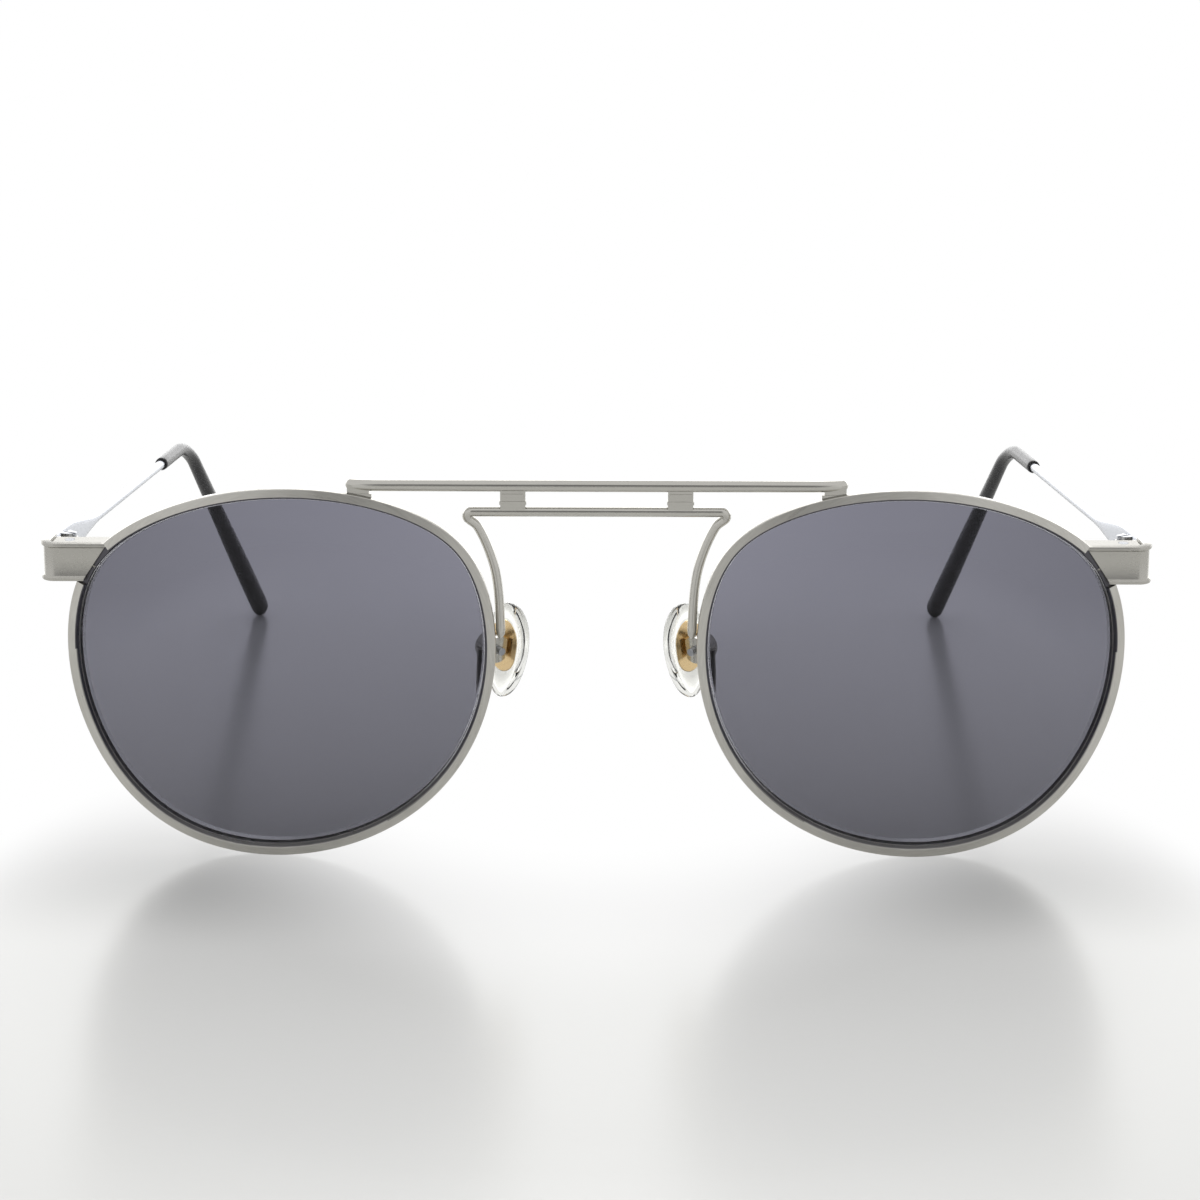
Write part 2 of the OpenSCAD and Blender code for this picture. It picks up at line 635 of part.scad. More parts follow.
// Temples: a stamped blade that narrows to a wire, with a thin core inside the tip
function blade_share(s) = 1 - smooth((s - 6) / (blade_len - 6));
function temple_high(s) = s < sock_start ? mix(wire_d, blade_h, blade_share(s)) : core_d;
function temple_wide(s) = s < sock_start ? mix(wire_d, blade_t, blade_share(s)) : core_d;
function temple_square(s) = mix(1, 0.3, blade_share(s));
function temple_ring(s, grow = 0) = ring(temple_path(s), temple_dir(s), temple_wide(s) / 2 + grow,
    temple_high(s) / 2 + grow, 12, temple_square(s));

core_end = path_len - 9;

module temple() {
    stations = concat([butt_gap, 0.5, 3], [for (s = [6 : (blade_len - 6) / 8 : blade_len + tiny]) s],
        [sock_start * 0.6, sock_start - tiny], [sock_start + tiny],
        [for (k = [0 : 8]) mix(bend_start, bend_start + bend_arc, k / 8)], [core_end]);
    color(bright) on_temple() skin([for (s = stations) temple_ring(s)]);
}

// Temple tips: moulded sleeves over the core wire, round at the start and fuller at the end
function tip_share(s) = smooth((s - bend_start) / (path_len - bend_start - tip_h * 1.4));
function tip_round(s) = let (left = (path_len - s) / tip_end) sqrt(max(0, 1 - pow(1 - min(1, left), 2)));
function tip_ring(s) = ring(temple_path(s), temple_dir(s), mix(sock_d, tip_w, tip_share(s)) / 2 * tip_round(s),
    mix(sock_d, tip_h, tip_share(s)) / 2 * tip_round(s), 14);

module temple_tip() {
    outside = concat([sock_start + 0.05, sock_start + 0.25, (sock_start + bend_start) / 2],
        [for (k = [0 : 7]) mix(bend_start, bend_start + bend_arc, k / 7)],
        [for (k = [1 : 4]) mix(bend_start + bend_arc, path_len - tip_end, k / 4)],
        [for (t = [25 : 20 : 85]) path_len - tip_end * (1 - sin(t))]);
    inside = concat([sock_start + tiny * 2, (sock_start + bend_start) / 2],
        [for (k = [0 : 8]) mix(bend_start, bend_start + bend_arc, k / 8)], [core_end + 0.3]);
    color(black) on_temple() difference() {
        skin([for (i = [0 : len(outside) - 1]) let (s = outside[i])
            i > 0 ? tip_ring(s)
            : ring(temple_path(s), temple_dir(s), sock_d * 0.44, sock_d * 0.44, 14)]);
        skin(concat([ring(temple_path(sock_start - 1), [0, 1, 0], core_d / 2 + braze_gap,
            core_d / 2 + braze_gap, 12)], [for (s = inside) temple_ring(s, braze_gap)]));
    }
}

// Pad arms: a short wire from the back of each rim, looped down and up to the pad box
module pad_arm() {
    a = nose_side(pad_z - 5, rim_w);
    root = rim_point(a, rim_w * 0.4, rim_d + braze_gap * 2);
    box_back = [pad_x, pad_y, pad_z] + turn_y(turn_z([0, -box_d / 2 - braze_gap, 0], 90 - pad_splay), -pad_lean);
    route = [root - [0, 0.3, 0], root + [0.3, 2.2, -0.9], box_back + [0.1, 0.3, -2.6], box_back];
    steps = 10;
    color(steel) on_front() difference() {
        wire([for (i = [0 : steps]) bezier(route, i / steps)], [for (i = [0 : steps]) arm_d / 2], 10, [1, 0, 0]);
        rim_space(a - 12, a + 12);
        translate([pad_x, pad_y, pad_z]) rotate([0, -pad_lean, 0]) rotate([0, 0, 90 - pad_splay])
            rotate([0, 90, 0]) cylinder(d = box_d + 2 * braze_gap, h = box_w + 2, center = true);
    }
}

// Pad boxes: a round block with a slot for the pad's lug, and a screw across it
lug_gap = run_gap;
insert_n = 1.6;

module pad_box() {
    mouth = insert_n - 0.4;
    color(bright) on_pad() difference() {
        intersection() {
            rotate([0, 90, 0]) cylinder(d = box_d, h = box_w, center = true);
            translate([-box_w, -box_d, -box_d]) cube([box_w * 2, box_d + mouth, box_d * 2]);
        }
        translate([-lug_t / 2 - lug_gap, -1.25, -box_d]) cube([lug_t + 2 * lug_gap, box_d, box_d * 2]);
        rotate([0, 90, 0]) cylinder(d = pad_screw_d + 2 * braze_gap, h = box_w + 2, center = true);
    }
}

module pad_screw() {
    head_h = 0.5;
    reach_out = 0.8;
    color(bright) on_pad() rotate([0, 90, 0]) {
        translate([0, 0, -box_w / 2 - reach_out]) cylinder(d = pad_screw_d, h = box_w + reach_out + head_h);
        translate([0, 0, box_w / 2 + braze_gap]) cylinder(d = pad_screw_d * 1.7, h = head_h);
    }
}

// Pad inserts: an oval plate set into the pad, with a lug that turns on the pad screw
plate_t = 0.5;
plate_w = 5.2;
plate_l = 6.4;

module oval(w, l, h) {
    linear_extrude(h) {
        translate([0, (l - w) / 2]) circle(d = w);
        translate([0, -(l - w) / 2]) circle(d = w);
        square([w, l - w], center = true);
    }
}

module pad_insert() {
    lug_r = 1.05;
    color(gold) on_pad() {
        translate([0, insert_n + plate_t, 0]) rotate([90, 0, 0]) oval(plate_w, plate_l, plate_t);
        difference() {
            union() {
                rotate([0, 90, 0]) cylinder(r = lug_r, h = lug_t, center = true);
                translate([-lug_t / 2, 0, -lug_r]) cube([lug_t, insert_n + tiny, lug_r * 2]);
            }
            rotate([0, 90, 0]) cylinder(d = pad_screw_d + 2 * run_gap, h = lug_t + 2, center = true);
        }
    }
}

// Nose pads: clear moulded pads with a flat back and a gently domed front
pad_sides = 24;
pad_shift = -0.7;
pad_fuller = 0.16;

function pad_ring(n, inset) = [for (i = [0 : pad_sides - 1]) let (t = -360 * i / pad_sides)
    [(pad_w / 2 - inset) * cos(t) * (1 + pad_fuller * sin(t)), n, (pad_len / 2 - inset) * sin(t) + pad_shift]];

module nose_pad() {
    back = insert_n;
    color(clear, 0.7) on_pad() difference() {
        pod([0, back, pad_shift], [
            pad_ring(back, 0.55),
            pad_ring(back + 0.15, 0.15),
            pad_ring(back + pad_t * 0.35, 0),
            pad_ring(back + pad_t * 0.65, 0.3),
            pad_ring(back + pad_t * 0.9, 1.3)],
            [0, back + pad_t, pad_shift]);
        translate([0, back + plate_t + braze_gap, 0]) rotate([90, 0, 0])
            oval(plate_w + 2 * braze_gap, plate_l + 2 * braze_gap, plate_t + 1);
    }
}

left() eyewire();  // eyewire_left
eyewire();  // eyewire_right
left() lens();  // lens_left
lens();  // lens_right
brow_bar();
left() brow_foot();  // brow_foot_left
brow_foot();  // brow_foot_right
bridge_wire();
left() bridge_post();  // bridge_post_left
bridge_post();  // bridge_post_right
left() endpiece();  // endpiece_left
endpiece();  // endpiece_right
left() rim_lock_upper();  // rim_lock_upper_left
rim_lock_upper();  // rim_lock_upper_right
left() rim_lock_lower();  // rim_lock_lower_left
rim_lock_lower();  // rim_lock_lower_right
left() lock_screw();  // lock_screw_left
lock_screw();  // lock_screw_right
left() hinge_leaf_front();  // hinge_leaf_front_left
hinge_leaf_front();  // hinge_leaf_front_right
left() hinge_leaf_temple();  // hinge_leaf_temple_left
hinge_leaf_temple();  // hinge_leaf_temple_right
left() hinge_screw();  // hinge_screw_left
hinge_screw();  // hinge_screw_right
left() temple();  // temple_left
temple();  // temple_right
left() temple_tip();  // temple_tip_left
temple_tip();  // temple_tip_right
left() pad_arm();  // pad_arm_left
pad_arm();  // pad_arm_right
left() pad_box();  // pad_box_left
pad_box();  // pad_box_right
left() pad_screw();  // pad_screw_left
pad_screw();  // pad_screw_right
left() nose_pad();  // nose_pad_left
nose_pad();  // nose_pad_right
left() pad_insert();  // pad_insert_left
pad_insert();  // pad_insert_right
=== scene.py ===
"""Round metal sunglasses on a pale studio floor, lit softly from behind. Lengths are in metres."""

import json
import math

import bmesh
import bpy
from mathutils import Matrix, Vector

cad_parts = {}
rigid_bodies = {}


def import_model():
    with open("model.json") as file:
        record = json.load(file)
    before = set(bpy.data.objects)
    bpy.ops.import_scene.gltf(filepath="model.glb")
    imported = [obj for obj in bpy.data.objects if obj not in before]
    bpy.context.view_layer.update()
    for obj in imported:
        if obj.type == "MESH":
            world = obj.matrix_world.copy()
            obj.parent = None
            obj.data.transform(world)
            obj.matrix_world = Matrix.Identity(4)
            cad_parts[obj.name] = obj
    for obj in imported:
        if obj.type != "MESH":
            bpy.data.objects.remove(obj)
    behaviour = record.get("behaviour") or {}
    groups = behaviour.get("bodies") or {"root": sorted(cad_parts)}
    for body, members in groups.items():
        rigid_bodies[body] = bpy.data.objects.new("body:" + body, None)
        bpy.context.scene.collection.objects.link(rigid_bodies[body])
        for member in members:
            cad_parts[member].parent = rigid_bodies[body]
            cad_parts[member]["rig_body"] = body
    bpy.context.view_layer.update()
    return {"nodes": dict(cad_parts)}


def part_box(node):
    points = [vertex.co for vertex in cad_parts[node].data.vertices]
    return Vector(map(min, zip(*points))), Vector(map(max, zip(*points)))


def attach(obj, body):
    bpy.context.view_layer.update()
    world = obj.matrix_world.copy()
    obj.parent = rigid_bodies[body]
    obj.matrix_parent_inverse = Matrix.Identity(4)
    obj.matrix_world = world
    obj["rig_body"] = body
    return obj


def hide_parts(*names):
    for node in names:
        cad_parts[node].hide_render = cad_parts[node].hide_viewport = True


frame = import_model()
nodes = frame["nodes"]
scene = bpy.context.scene
scene.view_settings.view_transform = "Standard"


# Camera: a long lens in front of the glasses and a little above them, with a hint of roll.
# Its place is counted from the front of the left rim.
rim_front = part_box("eyewire_left")[0].y
camera_place = (0.00043, rim_front - 0.355116, 0.11409)
camera_pitch = math.radians(12.8)
camera_roll = math.radians(0.19)
camera_data = bpy.data.cameras.new("camera")
camera_data.sensor_width = 36
camera_data.lens = 91.68
camera_data.clip_start = 0.01
camera_data.clip_end = 20
camera = bpy.data.objects.new("camera", camera_data)
scene.collection.objects.link(camera)
scene.camera = camera
aim = Matrix.Rotation(math.pi / 2 - camera_pitch, 4, "X") @ Matrix.Rotation(camera_roll, 4, "Z")
camera.matrix_world = Matrix.Translation(camera_place) @ aim


# Studio: an even white room that is darker behind the camera, and one large soft lamp behind
# the glasses. What mirrors the room sees its darker and brighter sides, and all else plain white.
def linear(colour):
    """The linear colour of an sRGB hex value such as #a0b0c0."""
    shares = [int(colour[i : i + 2], 16) / 255 for i in (1, 3, 5)]
    return [s / 12.92 if s <= 0.04045 else ((s + 0.055) / 1.055) ** 2.4 for s in shares] + [1]


def add(tree, kind, inputs=(), **settings):
    """A new node of this kind with its settings. Each input is a value or another node's socket."""
    made = tree.nodes.new(kind)
    for name, value in settings.items():
        setattr(made, name, value)
    for name, value in dict(inputs).items():
        if isinstance(value, bpy.types.NodeSocket):
            tree.links.new(value, made.inputs[name])
        else:
            made.inputs[name].default_value = value
    return made


def empty_tree(owner):
    """The owner's node tree, cleared."""
    owner.use_nodes = True
    owner.node_tree.nodes.clear()
    return owner.node_tree


room_level = 1.15
camera_side_level = 0.25
front_level = 0.85
behind_level = 2.55
to_camera = camera.location.normalized()
room = bpy.data.worlds.new("white_room")
scene.world = room
tree = empty_tree(room)
towards = add(tree, "ShaderNodeTexCoord").outputs["Generated"]
at_camera = add(
    tree,
    "ShaderNodeVectorMath",
    {0: towards, 1: to_camera},
    operation="DOT_PRODUCT",
).outputs["Value"]
front = add(
    tree,
    "ShaderNodeMapRange",
    {
        "Value": at_camera,
        "From Min": 0.92,
        "From Max": 0.985,
        "To Min": front_level,
        "To Max": camera_side_level,
    },
    interpolation_type="SMOOTHSTEP",
).outputs["Result"]
towards_axes = add(tree, "ShaderNodeSeparateXYZ", {"Vector": towards}).outputs
low_band = add(
    tree,
    "ShaderNodeMapRange",
    {
        "Value": towards_axes["Z"],
        "From Min": 0.29,
        "From Max": 0.4,
        "To Min": behind_level - front_level,
        "To Max": -0.1,
    },
).outputs["Result"]
behind = add(
    tree,
    "ShaderNodeMapRange",
    {"Value": towards_axes["Y"], "From Min": 0.3, "From Max": 0.85, "To Max": low_band},
    interpolation_type="SMOOTHSTEP",
).outputs["Result"]
mirrored = add(tree, "ShaderNodeMath", {0: front, 1: behind}, operation="ADD").outputs[0]
rays = add(tree, "ShaderNodeLightPath").outputs
clear = add(
    tree,
    "ShaderNodeMath",
    {0: rays["Is Camera Ray"], 1: rays["Is Transmission Ray"]},
    operation="MAXIMUM",
).outputs[0]
lit = add(
    tree,
    "ShaderNodeMix",
    {"Factor": rays["Is Glossy Ray"], "A": room_level, "B": mirrored},
).outputs["Result"]
level = add(tree, "ShaderNodeMix", {"Factor": clear, "A": lit, "B": 1.0}).outputs["Result"]
walls = add(tree, "ShaderNodeBackground", {"Color": linear("#ffffff"), "Strength": level})
add(tree, "ShaderNodeOutputWorld", {"Surface": walls.outputs[0]})

lamp_data = bpy.data.lights.new("back_softbox", "AREA")
lamp_data.shape = "RECTANGLE"
lamp_data.size = 0.3
lamp_data.size_y = 0.2
lamp_data.energy = 0.4
lamp = bpy.data.objects.new("back_softbox", lamp_data)
lamp.location = (0, 0.42, 0.4)
lamp_aim = Vector((0, -0.03, 0))
lamp.rotation_euler = (lamp_aim - lamp.location).to_track_quat("-Z", "Y").to_euler()
scene.collection.objects.link(lamp)


# Floor: a lacquered pale sheet, lit from behind. It burns out to white in the distance, and
# shows the glasses as a soft dark reflection with a contact shadow, partly painted into its colour.
floor_mesh = bmesh.new()
bmesh.ops.create_grid(floor_mesh, x_segments=1, y_segments=1, size=4)
floor_data = bpy.data.meshes.new("floor")
floor_mesh.to_mesh(floor_data)
floor_mesh.free()
floor = bpy.data.objects.new("floor", floor_data)
scene.collection.objects.link(floor)

# The sheet's grain is about 1 mm wide. Its colour is darker behind the rims, a painted shade for
# the contact shadow, but only where the camera sees it, so that the metal and the lenses mirror a
# pale sheet.
gloss_sheet = bpy.data.materials.new("gloss_sheet")
tree = empty_tree(gloss_sheet)
place = add(tree, "ShaderNodeTexCoord").outputs["Object"]
speckle = add(
    tree,
    "ShaderNodeTexNoise",
    {"Vector": place, "Scale": 900.0, "Detail": 2.0},
).outputs["Fac"]
sheet_rough = add(tree, "ShaderNodeMapRange", {"Value": speckle, "To Min": 0.2, "To Max": 0.26})
grain = add(tree, "ShaderNodeBump", {"Height": speckle, "Strength": 0.1, "Distance": 0.00005})
floor_axes = add(tree, "ShaderNodeSeparateXYZ", {"Vector": place}).outputs
rays = add(tree, "ShaderNodeLightPath").outputs
through = rays["Is Transmission Ray"]
in_front = add(
    tree,
    "ShaderNodeMapRange",
    {"Value": floor_axes["Y"], "From Min": -0.055, "From Max": -0.1},
    interpolation_type="SMOOTHSTEP",
).outputs["Result"]
unseen = add(
    tree,
    "ShaderNodeMath",
    {0: 1.0, 1: rays["Is Camera Ray"]},
    operation="SUBTRACT",
).outputs[0]
clear_of_painted_shade = add(tree, "ShaderNodeMath", {0: in_front, 1: unseen}, operation="MAXIMUM").outputs[0]
sheet_colour_with_painted_shade = add(
    tree,
    "ShaderNodeMix",
    {"Factor": clear_of_painted_shade, "A": linear("#7c7c7a"), "B": linear("#d0d0ce")},
    data_type="RGBA",
).outputs["Result"]
sheet = add(
    tree,
    "ShaderNodeBsdfPrincipled",
    {
        "Base Color": sheet_colour_with_painted_shade,
        "Roughness": sheet_rough.outputs["Result"],
        "IOR": 1.5,
        "Normal": grain.outputs["Normal"],
    },
)

# The near edge of the white lies further back behind each lens than in the middle and at the
# sides. It moves by aside * (bow_rise * aside - bow_depth) where that is below zero, with aside
# as the square of X, and by lens_shift where the floor is seen through a lens.
# Behind each lens this keeps more of the sheet's painted shade in view.
bow_rise = 4262.0
bow_depth = 24.5
lens_shift = -0.15
white_from = -0.125
white_full = -0.06
aside = add(
    tree,
    "ShaderNodeMath",
    {0: floor_axes["X"], 1: floor_axes["X"]},
    operation="MULTIPLY",
).outputs[0]
bow = add(
    tree,
    "ShaderNodeMath",
    {0: aside, 1: bow_rise, 2: -bow_depth},
    operation="MULTIPLY_ADD",
).outputs[0]
bowed_back = add(tree, "ShaderNodeMath", {0: bow, 1: 0.0}, operation="MINIMUM").outputs[0]
bowed = add(
    tree,
    "ShaderNodeMath",
    {0: aside, 1: bowed_back, 2: floor_axes["Y"]},
    operation="MULTIPLY_ADD",
).outputs[0]
shifted = add(
    tree,
    "ShaderNodeMath",
    {0: through, 1: lens_shift, 2: bowed},
    operation="MULTIPLY_ADD",
).outputs[0]
far = add(
    tree,
    "ShaderNodeMapRange",
    {"Value": shifted, "From Min": white_from, "From Max": white_full},
    interpolation_type="SMOOTHSTEP",
).outputs["Result"]
clear = add(
    tree,
    "ShaderNodeMath",
    {0: rays["Is Camera Ray"], 1: through},
    operation="MAXIMUM",
).outputs[0]
white_share = add(tree, "ShaderNodeMath", {0: clear, 1: far}, operation="MULTIPLY").outputs[0]

# Through the lenses the white is a little brighter towards the nose, a painted glow.
sideways = add(tree, "ShaderNodeMath", {0: floor_axes["X"]}, operation="ABSOLUTE").outputs[0]
nose_glow = add(
    tree,
    "ShaderNodeMapRange",
    {"Value": sideways, "From Max": 0.09, "To Min": 0.42, "To Max": -0.06},
).outputs["Result"]
white_level = add(
    tree,
    "ShaderNodeMath",
    {0: nose_glow, 1: through, 2: 1.0},
    operation="MULTIPLY_ADD",
).outputs[0]
white = add(tree, "ShaderNodeEmission", {"Color": linear("#ffffff"), "Strength": white_level})
sheet_and_white = add(
    tree,
    "ShaderNodeMixShader",
    {0: white_share, 1: sheet.outputs[0], 2: white.outputs[0]},
)
add(tree, "ShaderNodeOutputMaterial", {"Surface": sheet_and_white.outputs[0]})
floor_data.materials.append(gloss_sheet)


# Rims: nickel silver wire, rolled with a groove inside, bent round the lens and split beside the
# end piece, where the front lip is milled away. Plated matt silver, with brushing that runs round.
front_back = -0.0683458
front_up = 0.0230626
front_lean = math.radians(5)
front_place = Matrix.Translation((0, front_back, front_up)) @ Matrix.Rotation(front_lean, 4, "X")
lens_wide = 0.05
lens_tall = 0.0446
lens_gap = 0.02686
lens_middle = (lens_gap + lens_wide) / 2
lens_height = 0.0235
lens_squarer = 0.00084
lens_fuller_top = 0.00345
lens_slant = 0.00135
lens_corner_slant = 0.00075
base_curve = 0.1
wrap_turn = Matrix.Rotation(math.radians(5), 3, "Z")
rim_wide = 0.00115
rim_deep = 0.0023
rim_swell = 0.0002
groove_deep = 0.0005
groove_half = 0.00055
groove_from = 0.0013
rim_edge = 0.00012
lip_edge = 0.00017
rim_out = rim_wide + rim_swell
swell_from = rim_deep * 0.55
end_height = 0.0047
end_middle = lens_tall / 2 - 0.00895
turn = 2 * math.pi


def reach(a):
    """Distance of the lens outline's tangent from its middle, in direction a."""
    return (
        (lens_wide + lens_tall) / 4
        + (lens_wide - lens_tall) / 4 * math.cos(2 * a)
        + lens_squarer * (1 - math.cos(4 * a)) / 2
        + lens_fuller_top * (math.sin(a) + math.sin(3 * a)) / 4
        - lens_slant * math.sin(2 * a) / 2
        + lens_corner_slant * math.sin(4 * a) / 4
    )


def outline(a, out):
    """The point of the outline with normal direction a, moved outwards."""
    step = 1e-4
    slope = (reach(a + step) - reach(a - step)) / (2 * step)
    far_out = reach(a) + out
    return far_out * math.cos(a) - slope * math.sin(a), far_out * math.sin(a) + slope * math.cos(a)


def on_lens(x, z, back):
    """A flat point of the right lens, set on the base curve at a depth, then wrapped and stood up."""
    sag = math.sqrt(base_curve**2 - x * x - z * z)
    share = (base_curve - back) / base_curve
    flat = wrap_turn @ Vector((x * share, base_curve - sag * share, z * share))
    return front_place @ (flat + Vector((lens_middle, 0, 0)))


def on_rim(a, out, back):
    """The point of the rim in direction a, at this distance from the lens and this depth."""
    return on_lens(*outline(a, out), back)


def side_at(height, out):
    """The direction in which the outline is at this height, on its outer side."""
    low, high = math.radians(-40), math.radians(90)
    for _ in range(30):
        tried = (low + high) / 2
        low, high = (tried, high) if outline(tried, out)[1] < height else (low, tried)
    return low


def loft(mesh, rings):
    """Joins rings of points into one skin, with a face over each end."""
    loops = []
    for ring in rings:
        verts = [mesh.verts.new(p) for p in ring]
        loops.append([mesh.edges.new((verts[i - 1], verts[i])) for i in range(len(verts))])
    for end_loop in (loops[0], loops[-1]):
        bmesh.ops.contextual_create(mesh, geom=end_loop)
    for near, away in zip(loops, loops[1:]):
        bmesh.ops.bridge_loops(mesh, edges=near + away)


def finished(mesh, name, body, stands_for, slot, *materials, sharp=40, mirrored_over=False):
    """Makes the mesh an object that rides on a body and stands for its CAD nodes."""
    if mirrored_over:
        bmesh.ops.scale(mesh, vec=(-1, 1, 1), verts=mesh.verts)
    bmesh.ops.remove_doubles(mesh, verts=mesh.verts, dist=1e-7)
    bmesh.ops.recalc_face_normals(mesh, faces=mesh.faces)
    for seam in mesh.edges:
        seam.smooth = len(seam.link_faces) == 2 and seam.calc_face_angle() < math.radians(sharp)
    for face in mesh.faces:
        face.smooth = True
    data = bpy.data.meshes.new(name)
    mesh.to_mesh(data)
    mesh.free()
    piece = bpy.data.objects.new(name, data)
    scene.collection.objects.link(piece)
    for material in materials:
        data.materials.append(material)
    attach(piece, body)
    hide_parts(*stands_for)
    return piece


def metal(name, colour, shade, rough, line, run=(1, 1, 1), depth=0.1, rings=False, rises=None):
    """A plated metal whose colour varies a little in clouds of about 7 mm, brushed in lines that
    are this far apart. The lines lie along the axis with the small number in run, or in rings
    about each lens, in streaks of about 5 mm. With two heights in rises, the colour goes from
    shade at the lower one to colour at the upper."""
    made = bpy.data.materials.new(name)
    tree = empty_tree(made)
    place = add(tree, "ShaderNodeTexCoord").outputs["Object"]
    if rings or rises:
        axes = add(tree, "ShaderNodeSeparateXYZ", {"Vector": place}).outputs
    if rings:
        side = add(tree, "ShaderNodeMath", {0: axes["X"]}, operation="ABSOLUTE").outputs[0]
        across = add(
            tree,
            "ShaderNodeMath",
            {0: side, 1: lens_middle},
            operation="SUBTRACT",
        ).outputs[0]
        above = add(
            tree,
            "ShaderNodeMath",
            {0: axes["Z"], 1: lens_height},
            operation="SUBTRACT",
        ).outputs[0]
        flat = add(tree, "ShaderNodeCombineXYZ", {"X": across, "Y": above}).outputs[0]
        radius = add(tree, "ShaderNodeVectorMath", {0: flat}, operation="LENGTH").outputs["Value"]
        angle = add(tree, "ShaderNodeMath", {0: above, 1: across}, operation="ARCTAN2").outputs[0]
        streak = 0.0009
        slow = add(tree, "ShaderNodeMath", {0: angle, 1: streak}, operation="MULTIPLY").outputs[0]
        lie = add(tree, "ShaderNodeCombineXYZ", {"X": radius, "Y": axes["Y"], "Z": slow}).outputs[0]
    else:
        lie = add(tree, "ShaderNodeMapping", {"Vector": place, "Scale": run}).outputs["Vector"]
    brush = add(
        tree,
        "ShaderNodeTexNoise",
        {"Vector": lie, "Scale": 1 / line, "Detail": 3.0},
    ).outputs["Fac"]
    cloud = add(
        tree,
        "ShaderNodeTexNoise",
        {"Vector": place, "Scale": 140.0, "Detail": 3.0},
    ).outputs["Fac"]
    both = add(tree, "ShaderNodeMix", {"Factor": 0.5, "A": cloud, "B": brush}).outputs["Result"]
    share = both
    if rises:
        share = add(
            tree,
            "ShaderNodeMapRange",
            {"Value": axes["Z"], "From Min": rises[0], "From Max": rises[1]},
        ).outputs["Result"]
    tint = add(
        tree,
        "ShaderNodeMix",
        {"Factor": share, "A": linear(shade), "B": linear(colour)},
        data_type="RGBA",
    ).outputs["Result"]
    worn = add(
        tree,
        "ShaderNodeMapRange",
        {
            "Value": both,
            "From Min": 0.3,
            "From Max": 0.7,
            "To Min": rough - 0.04,
            "To Max": rough + 0.05,
        },
    ).outputs["Result"]
    relief = add(tree, "ShaderNodeBump", {"Height": brush, "Strength": depth, "Distance": 0.00002})
    surface = add(
        tree,
        "ShaderNodeBsdfPrincipled",
        {
            "Base Color": tint,
            "Metallic": 1.0,
            "Roughness": worn,
            "Normal": relief.outputs["Normal"],
        },
    )
    add(tree, "ShaderNodeOutputMaterial", {"Surface": surface.outputs[0]})
    return made


# Matt silver plate is a warm pale grey with wide, soft reflections. Its brush marks are too fine
# to see, and are 0.2 mm apart here so that they show.
brushed_silver = metal(
    "brushed_silver_plate",
    "#dedcd6",
    "#a8a6a0",
    0.3,
    0.0002,
    depth=0.5,
    rings=True,
)
# Painted shade for the groove, the lip's wall and the milled part: a dull grey, darker than the
# plate, and lighter low down, a painted fade for where the floor lights it.
painted_shade_recess = metal(
    "milled_bare_metal",
    "#5d5c61",
    "#a3a19c",
    0.4,
    0.00012,
    depth=0.2,
    rises=(0.0025, 0.017),
)


def rim_section(lip):
    """The wire's outline as distance from the lens and depth, with its front lip this far back."""
    return [
        (groove_deep, groove_from),
        (0, groove_from - groove_half),
        (0, lip + lip_edge * 1.2),
        (0, lip + lip_edge),
        (lip_edge * 0.3, lip + lip_edge * 0.3),
        (lip_edge, lip),
        (lip_edge * 1.2, lip),
        (rim_wide - rim_edge * 1.3, lip),
        (rim_wide - rim_edge, lip),
        (rim_wide - rim_edge * 0.3, lip + rim_edge * 0.3),
        (rim_wide, lip + rim_edge),
        (rim_wide + rim_swell * 0.8, rim_deep * 0.36),
        (rim_out, swell_from),
        (rim_wide + rim_swell * 0.7, rim_deep - rim_edge * 2),
        (rim_wide - rim_edge * 0.2, rim_deep - rim_edge * 0.3),
        (rim_wide - rim_edge, rim_deep),
        (rim_edge, rim_deep),
        (0, rim_deep - rim_edge),
        (0, groove_from + groove_half),
    ]


# The rim's two ends meet at the split, and the milled part lies to both sides of it. Painted shade
# covers the groove, the lip's wall towards the outer side, and the milled part.
split = 0.0002
split_low = side_at(end_middle - split / 2, rim_wide)
split_high = side_at(end_middle + split / 2, rim_wide)
lip_low = side_at(end_middle - end_height / 2, rim_wide)
lip_high = side_at(end_middle + end_height / 2, rim_wide)
lip_ramp = math.radians(0.4)
lip_milled = 0.00055
milled_steps = 6
milled_share = [i / milled_steps for i in range(milled_steps + 1)]
rim_steps = 200
stations = [(split_high + (lip_high - split_high) * share, lip_milled) for share in milled_share]
ring_from = lip_high + lip_ramp
ring_to = lip_low + turn - lip_ramp
stations += [(ring_from + (ring_to - ring_from) * i / rim_steps, 0) for i in range(rim_steps + 1)]
stations += [(lip_low + turn + (split_low - lip_low) * share, lip_milled) for share in milled_share]
groove_and_wall = range(0, 6)
groove_only = range(0, 3)
milled_part = range(0, 10)
wall_shaded_to = 240
for side in ("left", "right"):
    mesh = bmesh.new()
    rings = [[on_rim(a, *q) for q in rim_section(lip)] for a, lip in stations]
    loft(mesh, rings)
    mesh.verts.index_update()
    for face in mesh.faces:
        where = [divmod(vert.index, len(rings[0])) for vert in face.verts]
        degrees = math.degrees(stations[where[0][0]][0]) % 360
        shaded_columns = groove_and_wall if degrees < wall_shaded_to else groove_only
        if all(stations[row][1] for row, column in where):
            shaded_columns = milled_part
        face.material_index = int(all(column in shaded_columns for row, column in where))
    finished(
        mesh,
        "rim_" + side,
        "front",
        ["eyewire_" + side],
        "frame_metal",
        brushed_silver,
        painted_shade_recess,
        mirrored_over=side == "left",
    )
